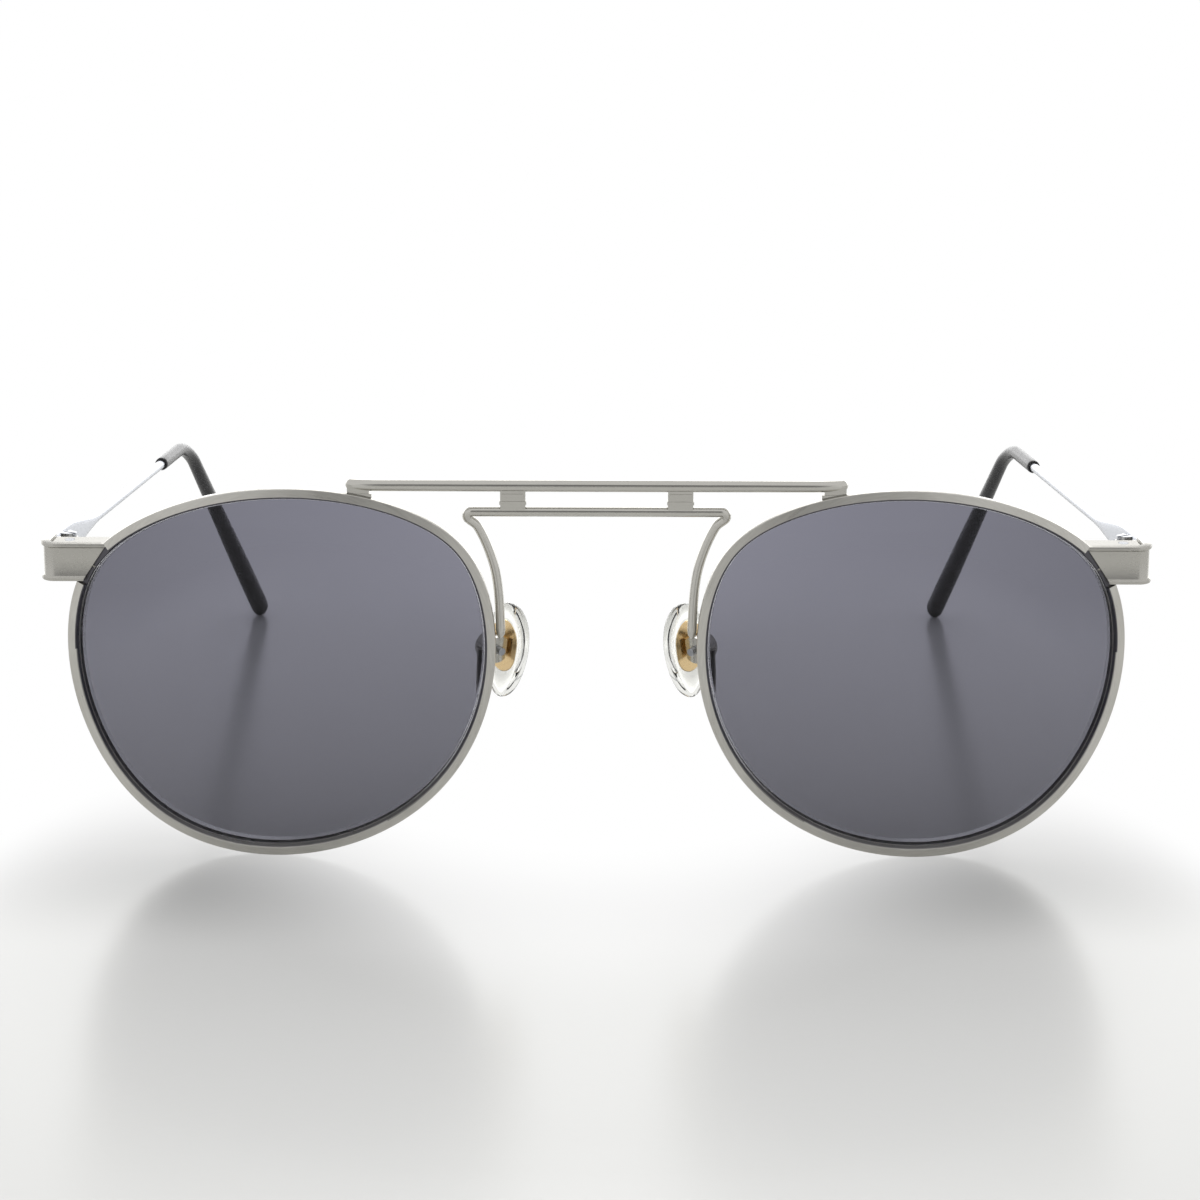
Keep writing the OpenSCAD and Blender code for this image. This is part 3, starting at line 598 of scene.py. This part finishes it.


# Lenses: moulded grey plastic on a shallow curve, dyed grey, with a colour that is a little darker
# towards the bottom, and a bevelled edge in the rim's groove that is ground clear and matt after
# the dyeing. A low IOR stands for the coat that keeps their reflections faint.
def clear_plastic(name, low_colour, high_colour, low, high, ior, rough):
    """A see-through plastic whose dye runs from one colour to another between two heights.
    Its surface is uneven in spots of about 5 mm."""
    made = bpy.data.materials.new(name)
    tree = empty_tree(made)
    place = add(tree, "ShaderNodeTexCoord").outputs["Object"]
    height = add(tree, "ShaderNodeSeparateXYZ", {"Vector": place}).outputs["Z"]
    share = add(tree, "ShaderNodeMapRange", {"Value": height, "From Min": low, "From Max": high})
    dye = add(
        tree,
        "ShaderNodeMix",
        {"Factor": share.outputs["Result"], "A": linear(low_colour), "B": linear(high_colour)},
        data_type="RGBA",
    ).outputs["Result"]
    film = add(
        tree,
        "ShaderNodeTexNoise",
        {"Vector": place, "Scale": 220.0, "Detail": 3.0},
    ).outputs["Fac"]
    haze = add(tree, "ShaderNodeMapRange", {"Value": film, "To Min": rough, "To Max": rough * 1.6})
    relief = add(tree, "ShaderNodeBump", {"Height": film, "Strength": 0.02, "Distance": 0.00002})
    surface = add(
        tree,
        "ShaderNodeBsdfPrincipled",
        {
            "Base Color": dye,
            "Roughness": haze.outputs["Result"],
            "IOR": ior,
            "Transmission Weight": 1.0,
            "Normal": relief.outputs["Normal"],
        },
    )
    add(tree, "ShaderNodeOutputMaterial", {"Surface": surface.outputs[0]})
    return made


# The dyed plastic is an even, slightly violet grey that darkens what lies behind it. Its ground
# edge spreads the light, and shows as a thin grey line inside the rim.
lens_ior = 1.25
dyed_lens = clear_plastic("dyed_grey_lens", "#63636a", "#787883", 0.001, 0.046, lens_ior, 0.01)
ground_edge = clear_plastic("ground_lens_edge", "#ffffff", "#ffffff", 0, 0.05, lens_ior, 0.2)
lens_thick = 0.0018
lens_proud = 0.00045
lens_fit = 0.00008
lens_from = groove_from - lens_proud
bevel_half = groove_half - lens_fit * 2
lens_sides = 192


def lens_ring(out, back, share=1.0):
    """A ring of the lens at a distance outside its outline and a depth, drawn in to a share."""
    spots = [outline(turn * i / lens_sides, out) for i in range(lens_sides)]
    return [on_lens(x * share, z * share, back) for x, z in spots]


face_shares = (0.06, 0.2, 0.4, 0.6, 0.8, 0.93, 0.98)
for side in ("left", "right"):
    mesh = bmesh.new()
    front_rings = [lens_ring(-lens_fit, lens_from, k) for k in face_shares]
    edge_rings = [
        lens_ring(-lens_fit, lens_from),
        lens_ring(-lens_fit, groove_from - bevel_half),
        lens_ring(groove_deep - lens_fit * 1.5, groove_from),
        lens_ring(-lens_fit, groove_from + bevel_half),
        lens_ring(-lens_fit, lens_from + lens_thick),
    ]
    back_rings = [lens_ring(-lens_fit, lens_from + lens_thick, k) for k in reversed(face_shares)]
    loft(mesh, front_rings + edge_rings + back_rings)
    mesh.verts.index_update()
    edge_rows = range(len(front_rings), len(front_rings) + len(edge_rings))
    for face in mesh.faces:
        face.material_index = int(all(vert.index // lens_sides in edge_rows for vert in face.verts))
    finished(
        mesh,
        "tinted_lens_" + side,
        "front",
        ["lens_" + side],
        "lens",
        dyed_lens,
        ground_edge,
        sharp=20,
        mirrored_over=side == "left",
    )


# End pieces: a ridged strip, pressed out and turned back round the corner to the hinge. In front
# it starts as a thin tongue that lies over the milled part of the rim.
# The same plate on a smooth pressed strip has hardly any brush lines, and a flat, even grey.
plate_silver = metal(
    "satin_silver_plate",
    "#bfbdb7",
    "#b4b2ac",
    0.28,
    0.00018,
    run=(0.2, 1, 1),
    depth=0.04,
)
end_edge = lens_middle + lens_wide / 2 + 0.00357
end_round = 0.0018
end_thick = 0.0011
ridge_high = 0.00055
ridge_deep = 0.00028
end_proud = 0.0003
end_back = 0.0062
end_pitch = math.radians(6.2)
end_clear = 0.00022
end_break = 0.00005
tongue_thick = end_proud + lip_milled - 0.00006
tongue_over = 0.00085


def end_section(thick):
    """The strip's outline as depth and height, from the lower ridge to the upper one."""
    half = [
        (ridge_deep, end_height / 2 - ridge_high - 0.00008),
        (ridge_deep * 0.8, end_height / 2 - ridge_high),
        (0.00005, end_height / 2 - ridge_high + 0.0001),
        (0, end_height / 2 - ridge_high + 0.00016),
        (0, end_height / 2 - 0.00014),
        (0.00004, end_height / 2 - 0.00004),
        (0.00014, end_height / 2),
        (thick - 0.00008, end_height / 2),
        (thick, end_height / 2 - 0.00008),
    ]
    return [(d, -h) for d, h in half] + [(d, h) for d, h in reversed(half)]


flat_front = front_place.inverted()
end_front = (flat_front @ on_rim(side_at(end_middle, rim_wide), rim_wide, 0)).y - end_proud


def outer_side(height):
    """How far out the rim's widest part is at this height."""
    return (flat_front @ on_rim(side_at(height, rim_out), rim_out, swell_from)).x


def end_ring(thick, share, over=0.0, shrink=0.0):
    """A ring of the straight front part, from the rim (share 0) to the corner (share 1)."""
    ring = []
    for d, h in end_section(thick):
        near = outer_side(end_middle + h) + end_clear - over
        x = near + (end_edge - end_round - near) * share
        d = max(shrink, min(thick - shrink, d))
        h = max(shrink - end_height / 2, min(end_height / 2 - shrink, h))
        ring.append(front_place @ Vector((x, end_front + d, end_middle + h)))
    return ring


corner_middle = Vector((end_edge - end_round, end_front + end_round, end_middle))
hinge_height = end_middle - (end_back - end_round) * math.tan(end_pitch)
hinge_middle = Vector((0, end_front + end_back, hinge_height))
hinge_lean = Matrix.Rotation(-end_pitch, 3, "X")
for side in ("left", "right"):
    rings = [end_ring(tongue_thick, 0, tongue_over, end_break)]
    rings += [end_ring(tongue_thick, 0, tongue_over - end_break)]
    rings += [end_ring(tongue_thick, 0.01), end_ring(end_thick, 0.012)]
    rings += [end_ring(end_thick, k / 4) for k in range(1, 4)]
    for t in range(0, 91, 9):
        c, s = math.cos(math.radians(t)), math.sin(math.radians(t))
        up = Matrix.Rotation(-end_pitch * t / 90, 3, "X") @ Vector((0, 0, 1))
        ring = []
        for d, h in end_section(end_thick):
            ring.append(front_place @ (corner_middle + (end_round - d) * Vector((s, -c, 0)) + h * up))
        rings.append(ring)
    for y in (-end_back * 0.35, -end_break, 0):
        shrink = end_break if y == 0 else 0
        ring = []
        for d, h in end_section(end_thick):
            x = end_edge - max(shrink, min(end_thick - shrink, d))
            ring.append(front_place @ (hinge_middle + hinge_lean @ Vector((x, y, h))))
        rings.append(ring)
    mesh = bmesh.new()
    loft(mesh, rings)
    finished(
        mesh,
        "corner_strip_" + side,
        "front",
        ["endpiece_" + side],
        "frame_metal",
        plate_silver,
        sharp=35,
        mirrored_over=side == "left",
    )


# Brow bar: straight drawn wire, brazed over both rims. It is a little thinner towards its ends,
# which are rounded and bent back. Plated drawn wire is glossy, with highlights that run along it
# like fine lines. Its marks are too fine to see, and are 0.14 mm apart here so that they show.
bar_silver = metal(
    "satin_silver_wire",
    "#cbc9c3",
    "#bebcb6",
    0.14,
    0.00014,
    run=(0.03, 1, 1),
    depth=0.15,
)
brow_half = lens_middle - 0.00863
brow_height = lens_tall / 2 + 0.00148
brow_thick = 0.00072
brow_thinner = 0.06
brow_ends = 0.004
brow_end_curve = 0.028
bars_back = 0.0032


def wire(mesh, path, radii, sides, up=(0, 0, 1), tall=None, square=None):
    """A drawn wire along a path. tall gives the radii across it, and square below 1 flattens it."""
    rings = []
    for i, spot in enumerate(path):
        along = (path[min(i + 1, len(path) - 1)] - path[max(i - 1, 0)]).normalized()
        side = along.cross(Vector(up)).normalized()
        rise = side.cross(along)
        flat = square[i] if square else 1.0
        high = tall[i] if tall else radii[i]
        ring = []
        for k in range(sides):
            t = turn * (k + 0.5) / sides
            c = math.copysign(abs(math.cos(t)) ** flat, math.cos(t))
            s = math.copysign(abs(math.sin(t)) ** flat, math.sin(t))
            ring.append(spot + side * radii[i] * c + rise * high * s)
        rings.append(ring)
    loft(mesh, rings)


def brow_radius(x):
    """The bar's radius at x, closed to a round end."""
    past = max(0, abs(x) - (brow_half - brow_thick)) / brow_thick
    radius = brow_thick * (1 - brow_thinner * (x / brow_half) ** 2)
    return max(0.00004, radius * math.sqrt(max(0, 1 - past * past)))


def brow_path(x):
    """The bar's middle at x."""
    drawn_back = max(0, abs(x) - (brow_half - brow_ends)) ** 2 / brow_end_curve
    return front_place @ Vector((x, bars_back + drawn_back, brow_height))


half_bar = [brow_half * k / 20 for k in range(20)]
half_bar += [brow_half - brow_thick * (1 - math.sin(math.radians(t))) for t in range(0, 90, 10)]
half_bar += [brow_half - 0.000004]
bar_spots = [-x for x in reversed(half_bar[1:])] + half_bar
mesh = bmesh.new()
wire(mesh, [brow_path(x) for x in bar_spots], [brow_radius(x) for x in bar_spots], 32)
finished(mesh, "top_bar", "front", ["brow_bar"], "frame_metal", bar_silver)


# Lower bridge: one wire, bent back at both ends of its bar and drawn down to lie on the rims.
# The struts lean towards each other above and end in a short taper on the rims.
# It is plated as the brow bar is, with its drawing marks along the bar and the struts.
strut_silver = metal(
    "satin_silver_strut",
    "#cbc9c3",
    "#bebcb6",
    0.14,
    0.00014,
    run=(0.3, 1, 0.3),
    depth=0.1,
)
lower_height = brow_height - 0.00318
lower_radius = 0.0006
strut_radius = 0.00057
strut_lean = 0.00046
strut_tilt = math.radians(20)
strut_steps = 36
strut_gap = 0.00006
wire_bend = 0.00064
bend_turn = 122
bend_steps = 16
bar_straight = lens_gap / 2 + 0.00257 - wire_bend - lower_radius


def eased(t):
    """0 below 0 and 1 above 1, with a smooth rise between."""
    t = min(1, max(0, t))
    return t * t * (3 - 2 * t)


def bezier(pull, t):
    """The point at t of a curve with four pull points."""
    u = 1 - t
    return pull[0] * u**3 + pull[1] * 3 * t * u**2 + pull[2] * 3 * t * t * u + pull[3] * t**3


def flat_rim(a, out, back):
    """A point of the rim before the front is stood up."""
    return flat_front @ on_rim(a, out, back)


def nose_side_at(height, out):
    """The direction in which the outline is at this height, on the side of the nose."""
    low, high = math.radians(90), math.radians(220)
    for _ in range(30):
        tried = (low + high) / 2
        low, high = (tried, high) if outline(tried, out)[1] > height else (low, tried)
    return low


down = Vector((0, math.sin(strut_tilt), -math.cos(strut_tilt)))
outwards = Vector((1, 0, 0))
bend_middle = Vector((bar_straight, bars_back, lower_height)) + down * wire_bend


def lower_bend(t):
    """The wire's middle after this many degrees of its bend."""
    t = math.radians(t)
    return bend_middle + (outwards * math.sin(t) - down * math.cos(t)) * wire_bend


bend_end = lower_bend(bend_turn)
leaving = outwards * math.cos(math.radians(bend_turn)) + down * math.sin(math.radians(bend_turn))
strut_foot = flat_rim(nose_side_at(0.0054, rim_out), rim_out + strut_radius + strut_gap, swell_from)
above_foot = flat_rim(
    nose_side_at(0.0119, rim_out),
    rim_out + strut_radius + 0.00115,
    swell_from * 1.3,
)
pull = [bend_end, bend_end + leaving * 0.0032, above_foot, strut_foot]
half = [Vector((bar_straight * k / 6, bars_back, lower_height)) for k in range(6)]
half += [lower_bend(bend_turn * k / bend_steps) for k in range(bend_steps + 1)]
half_radii = [lower_radius] * len(half)
for k in range(1, strut_steps + 1):
    t = k / strut_steps
    leaning = strut_lean * eased(t / 0.12) * (1 - eased((t - 0.5) / 0.5))
    half.append(bezier(pull, t) - outwards * leaning)
    drawn = min(1, k / 6)
    tapered = 0.85 if k == strut_steps else 1
    half_radii.append((lower_radius + (strut_radius - lower_radius) * drawn) * tapered)
half.append(strut_foot + Vector((0, 0, -0.0004)))
half_radii.append(strut_radius * 0.4)
path = [Vector((-p.x, p.y, p.z)) for p in reversed(half[1:])] + half
mesh = bmesh.new()
wire(mesh, [front_place @ p for p in path], half_radii[:0:-1] + half_radii, 24, up=(0, 1, 0))
finished(mesh, "lower_bridge", "front", ["bridge_wire"], "frame_metal", strut_silver)


# Temples: a stamped blade that narrows to a wire, in brighter metal, pushed into a black sleeve.
# The sleeve bends down behind the ear, and is fuller towards its rounded end.
# Plate over polished metal mirrors the white room, so it looks brighter. A little blue is painted
# into its colour as a painted reflection.
bright_silver = metal(
    "bright_silver_plate",
    "#adb0b7",
    "#9da0a7",
    0.2,
    0.0002,
    run=(1, 0.04, 1),
    depth=0.08,
)
temple_place = (
    Matrix.Translation((0.06445, front_back + 0.0104534, 0.0368983))
    @ Matrix.Rotation(math.radians(-1.2), 4, "X")
    @ Matrix.Rotation(math.radians(3.1), 4, "Z")
)
temple_long = 0.0857
drop_long = 0.0532
bend_radius = 0.014
drop_turn = math.radians(39.3617)
bend_run = bend_radius * math.tan(drop_turn / 2)
bend_arc = bend_radius * drop_turn
bend_start = temple_long - bend_run
path_long = bend_start + bend_arc + drop_long - bend_run
tips_in = math.tan(math.radians(4.2))
blade_thick = 0.00105
blade_tall = 0.0042
blade_from = 0.006
blade_long = 0.026
temple_wire = 0.00125
temple_aside = 0.00255 - blade_thick / 2
sleeve_from = 0.0677
sleeve_thick = 0.00185
tip_wide = 0.0027
tip_tall = 0.0033
tip_end = tip_tall * 0.6


def temple_path(s):
    """The arm's middle after this length from the hinge."""
    past = max(0, s - bend_start)
    x = temple_aside - tips_in * past * eased(past / bend_arc)
    y, z = s, 0
    if 0 < past < bend_arc:
        t = past / bend_radius
        y = bend_start + bend_radius * math.sin(t)
        z = bend_radius * (math.cos(t) - 1)
    elif past >= bend_arc:
        leg = past - bend_arc + bend_run
        y = temple_long + leg * math.cos(drop_turn)
        z = -leg * math.sin(drop_turn)
    return temple_place @ Vector((x, y, z))


def plastic(name, colour, shade, fleck, rough, grain):
    """A moulded solid plastic with a fine grained skin and a few pale flecks."""
    made = bpy.data.materials.new(name)
    tree = empty_tree(made)
    place = add(tree, "ShaderNodeTexCoord").outputs["Object"]
    skin = add(
        tree,
        "ShaderNodeTexNoise",
        {"Vector": place, "Scale": 1 / grain, "Detail": 3.0},
    ).outputs["Fac"]
    tint = add(
        tree,
        "ShaderNodeMix",
        {"Factor": skin, "A": linear(shade), "B": linear(colour)},
        data_type="RGBA",
    ).outputs["Result"]
    dust = add(
        tree,
        "ShaderNodeTexNoise",
        {"Vector": place, "Scale": 2.5 / grain, "Detail": 1.0},
    ).outputs["Fac"]
    few = add(tree, "ShaderNodeMapRange", {"Value": dust, "From Min": 0.62, "From Max": 0.72})
    flecked = add(
        tree,
        "ShaderNodeMix",
        {"Factor": few.outputs["Result"], "A": tint, "B": linear(fleck)},
        data_type="RGBA",
    ).outputs["Result"]
    worn = add(
        tree,
        "ShaderNodeMapRange",
        {"Value": skin, "To Min": rough - 0.08, "To Max": rough + 0.1},
    )
    relief = add(tree, "ShaderNodeBump", {"Height": skin, "Strength": 0.3, "Distance": 0.00004})
    surface = add(
        tree,
        "ShaderNodeBsdfPrincipled",
        {
            "Base Color": flecked,
            "Roughness": worn.outputs["Result"],
            "IOR": 1.5,
            "Specular IOR Level": 0.3,
            "Normal": relief.outputs["Normal"],
        },
    )
    add(tree, "ShaderNodeOutputMaterial", {"Surface": surface.outputs[0]})
    return made


def between(a, b, t):
    """The value at the share t of the way from a to b."""
    return a + (b - a) * t


# Black plastic has a soft sheen, and shows dust as small pale flecks, 0.1 mm wide. Its grain is
# too fine to see, and is 0.25 mm wide here so that it shows.
black_sleeve = plastic("moulded_black_plastic", "#121114", "#080809", "#77777c", 0.26, 0.00025)
mouth_shares = {0: 0.72, 1: 0.86, 2: 0.97}
for side in ("left", "right"):
    stops = [0.00012, 0.0003, 0.0006, 0.003] + [blade_from + 0.001 * k for k in range(21)]
    stops += [blade_long + (sleeve_from - blade_long) * k / 12 for k in range(1, 13)]
    stops += [sleeve_from + 0.002]
    wide, tall, square = [], [], []
    for s in stops:
        blade = 1 - eased((s - blade_from) / (blade_long - blade_from))
        rounding = 0.88 if s < 0.0002 else 1
        wide.append(between(temple_wire, blade_thick, blade) / 2 * rounding)
        tall.append(between(temple_wire, blade_tall, blade) / 2 * (1 - (1 - rounding) / 3))
        square.append(between(1, 0.3, blade))
    mesh = bmesh.new()
    wire(mesh, [temple_path(s) for s in stops], wide, 32, tall=tall, square=square)
    finished(
        mesh,
        "side_arm_" + side,
        "temple_arm_" + side,
        ["temple_" + side],
        "temple_metal",
        bright_silver,
        mirrored_over=side == "left",
    )

    stops = [sleeve_from, sleeve_from + 0.00005, sleeve_from + 0.0002]
    stops += [between(sleeve_from + 0.0006, bend_start, k / 6) for k in range(7)]
    stops += [bend_start + bend_arc * k / 14 for k in range(1, 15)]
    stops += [between(bend_start + bend_arc, path_long - tip_end, k / 14) for k in range(1, 15)]
    stops += [path_long - tip_end * (1 - math.sin(math.radians(t))) for t in range(5, 90, 7)]
    wide, tall = [], []
    for i, s in enumerate(stops):
        fuller = eased((s - bend_start) / (path_long - bend_start - tip_tall * 1.4))
        left_over = min(1, (path_long - s) / tip_end)
        closing = math.sqrt(max(0, 1 - (1 - left_over) ** 2))
        mouth = mouth_shares.get(i, 1)
        wide.append(between(sleeve_thick, tip_wide, fuller) / 2 * closing * mouth)
        tall.append(between(sleeve_thick, tip_tall, fuller) / 2 * closing * mouth)
    mesh = bmesh.new()
    wire(mesh, [temple_path(s) for s in stops], wide, 32, tall=tall)
    finished(
        mesh,
        "sleeve_" + side,
        "temple_arm_" + side,
        ["temple_tip_" + side],
        "tip_plastic",
        black_sleeve,
        mirrored_over=side == "left",
    )


# Pad arms: soft wire, brazed to the back of each rim beside the nose, then looped back, down
# and up to the pad's box.
# Soft plated wire is a plain satin grey.
arm_silver = metal("satin_pad_wire", "#a8a6a1", "#9b9994", 0.3, 0.00014, depth=0.1)
arm_radius = 0.0005
arm_steps = 28
pad_height = 0.0022
pad_pivot = Vector((lens_gap / 2 - 0.00073, 0.0076, pad_height))
pad_turn = Matrix.Rotation(math.radians(-8), 4, "Y") @ Matrix.Rotation(math.radians(90 - 38), 4, "Z")
pad_place = front_place @ Matrix.Translation(pad_pivot) @ pad_turn
arm_foot = flat_rim(nose_side_at(pad_height - 0.005, rim_wide), rim_wide * 0.4, rim_deep + 0.00006)
box_back = flat_front @ pad_place @ Vector((0, -0.0017, 0))
arm_pull = [
    arm_foot - Vector((0, 0.0003, 0)),
    arm_foot + Vector((0.0003, 0.0022, -0.0009)),
    box_back + Vector((0.0001, 0.0003, -0.0026)),
    box_back,
]
arm_path = [front_place @ bezier(arm_pull, k / arm_steps) for k in range(arm_steps + 1)]
for side in ("left", "right"):
    mesh = bmesh.new()
    wire(mesh, arm_path, [arm_radius] * len(arm_path), 20, up=(1, 0, 0))
    finished(
        mesh,
        "pad_wire_" + side,
        "front",
        ["pad_arm_" + side],
        "frame_metal",
        arm_silver,
        mirrored_over=side == "left",
    )


# Nose pads: clear soft vinyl, moulded with a flat back and a domed face round a gilt plate.
# The plate's lug turns on the screw of the small box.
# Clear vinyl is almost colourless, and is seen by the dark and bright lines along its edge.
clear_vinyl = clear_plastic("clear_soft_vinyl", "#f0f0ec", "#f0f0ec", 0, 0.05, 1.4, 0.04)
# Gilt plate is a warm, pale gold that is seen through the vinyl.
gilt = metal("gilt_plate", "#f4dbb0", "#e9c88f", 0.28, 0.0002, depth=0.1)
pad_wide = 0.0074
pad_long = 0.012
pad_fuller_top = 0.16
pad_low = 0.0007
pad_back = 0.0016
pad_side = pad_back + 0.0006
pad_dome = 0.0009
pad_shoulder = 0.0006
pad_sides = 72
plate_thick = 0.0005
plate_radius = 0.0026
plate_straight = 0.0006
recess = pad_back + plate_thick + 0.00003


def pad_ring(depth, inset):
    """The pad's outline: an oval that is fuller at the top."""
    ring = []
    for i in range(pad_sides):
        t = turn * i / pad_sides
        x = (pad_wide / 2 - inset) * math.cos(t) * (1 + pad_fuller_top * math.sin(t))
        z = (pad_long / 2 - inset) * math.sin(t) - pad_low
        ring.append(pad_place @ Vector((x, depth, z)))
    return ring


def oval_ring(depth, inset):
    """The plate's outline: two half circles joined by straight sides."""
    radius = plate_radius - inset
    ring = []
    for i in range(pad_sides):
        t = turn * i / pad_sides
        lift = math.copysign(plate_straight, math.sin(t)) * min(1, abs(math.sin(t)) * 6)
        x = radius * math.cos(t)
        z = radius * math.sin(t) + lift
        ring.append(pad_place @ Vector((x, depth, z)))
    return ring


for side in ("left", "right"):
    mesh = bmesh.new()
    rings = [oval_ring(recess, 0.0015), oval_ring(recess, 0.0001)]
    rings += [oval_ring(recess - 0.0001, -0.00003), oval_ring(pad_back + 0.00012, -0.00003)]
    rings += [oval_ring(pad_back, -0.00012), pad_ring(pad_back, 0.0007)]
    rings += [pad_ring(pad_back + 0.00002, 0.0005), pad_ring(pad_back + 0.0001, 0.00022)]
    rings += [pad_ring(pad_back + 0.0003, 0.00005), pad_ring(pad_side, 0)]
    for t in range(15, 91, 15):
        t = math.radians(t)
        rings.append(pad_ring(pad_side + pad_dome * math.sin(t), pad_shoulder * (1 - math.cos(t))))
    rings += [pad_ring(pad_back + 0.00157, 0.0011), pad_ring(pad_back + 0.00164, 0.0018)]
    rings += [pad_ring(pad_back + 0.0017, 0.0028)]
    loft(mesh, rings)
    finished(
        mesh,
        "soft_pad_" + side,
        "pad_" + side,
        ["nose_pad_" + side],
        "pad_plastic",
        clear_vinyl,
        sharp=60,
        mirrored_over=side == "left",
    )


# Small metal: the blocks, feet, rim locks, hinges, boxes and screws are stamped or turned,
# and keep their made shapes with the edges just broken.
edge_break = 0.00005
break_above = 32
foot_thinner = 0.62
merged_within = 2e-6
flat_below = 0.7


def broken_edges(name, slot, material):
    """A merged copy of one CAD node with its edges rounded, which stands for it."""
    source = nodes[name]
    mesh = bmesh.new()
    mesh.from_mesh(source.data)
    bmesh.ops.remove_doubles(mesh, verts=mesh.verts, dist=merged_within)
    flat = math.radians(flat_below)
    bmesh.ops.dissolve_limit(mesh, angle_limit=flat, verts=mesh.verts, edges=mesh.edges)
    if "foot" in name:
        middle = sum((vert.co for vert in mesh.verts), Vector()) / len(mesh.verts)
        about = Matrix.Translation(-middle)
        bmesh.ops.scale(mesh, vec=(1, foot_thinner, 1), space=about, verts=mesh.verts)
    piece = finished(mesh, "made_" + name, source["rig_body"], [name], slot, material, sharp=break_above)
    rounding = piece.modifiers.new("broken_edges", "BEVEL")
    rounding.width = edge_break
    rounding.segments = 2
    rounding.limit_method = "ANGLE"
    rounding.angle_limit = math.radians(break_above)
    rounding.use_clamp_overlap = True
    rounding.harden_normals = True


# Turned steel is a neutral grey, a little glossier than the plate.
screw_steel = metal("turned_screw_steel", "#b9bbbf", "#9fa1a6", 0.24, 0.00012, depth=0.15)
made_of = {"hinge_leaf_temple": ("temple_metal", bright_silver), "pad_insert": ("pad_insert", gilt)}
for kind in ("brow_foot", "bridge_post", "pad_box"):
    made_of[kind] = ("frame_metal", bar_silver)
for kind in ("lock_screw", "hinge_screw", "pad_screw"):
    made_of[kind] = ("screw_metal", screw_steel)
for name in sorted(nodes):
    if nodes[name].hide_render:
        continue
    kind = name.replace("_left", "").replace("_right", "")
    slot, material = made_of.get(kind, ("frame_metal", plate_silver))
    broken_edges(name, slot, material)
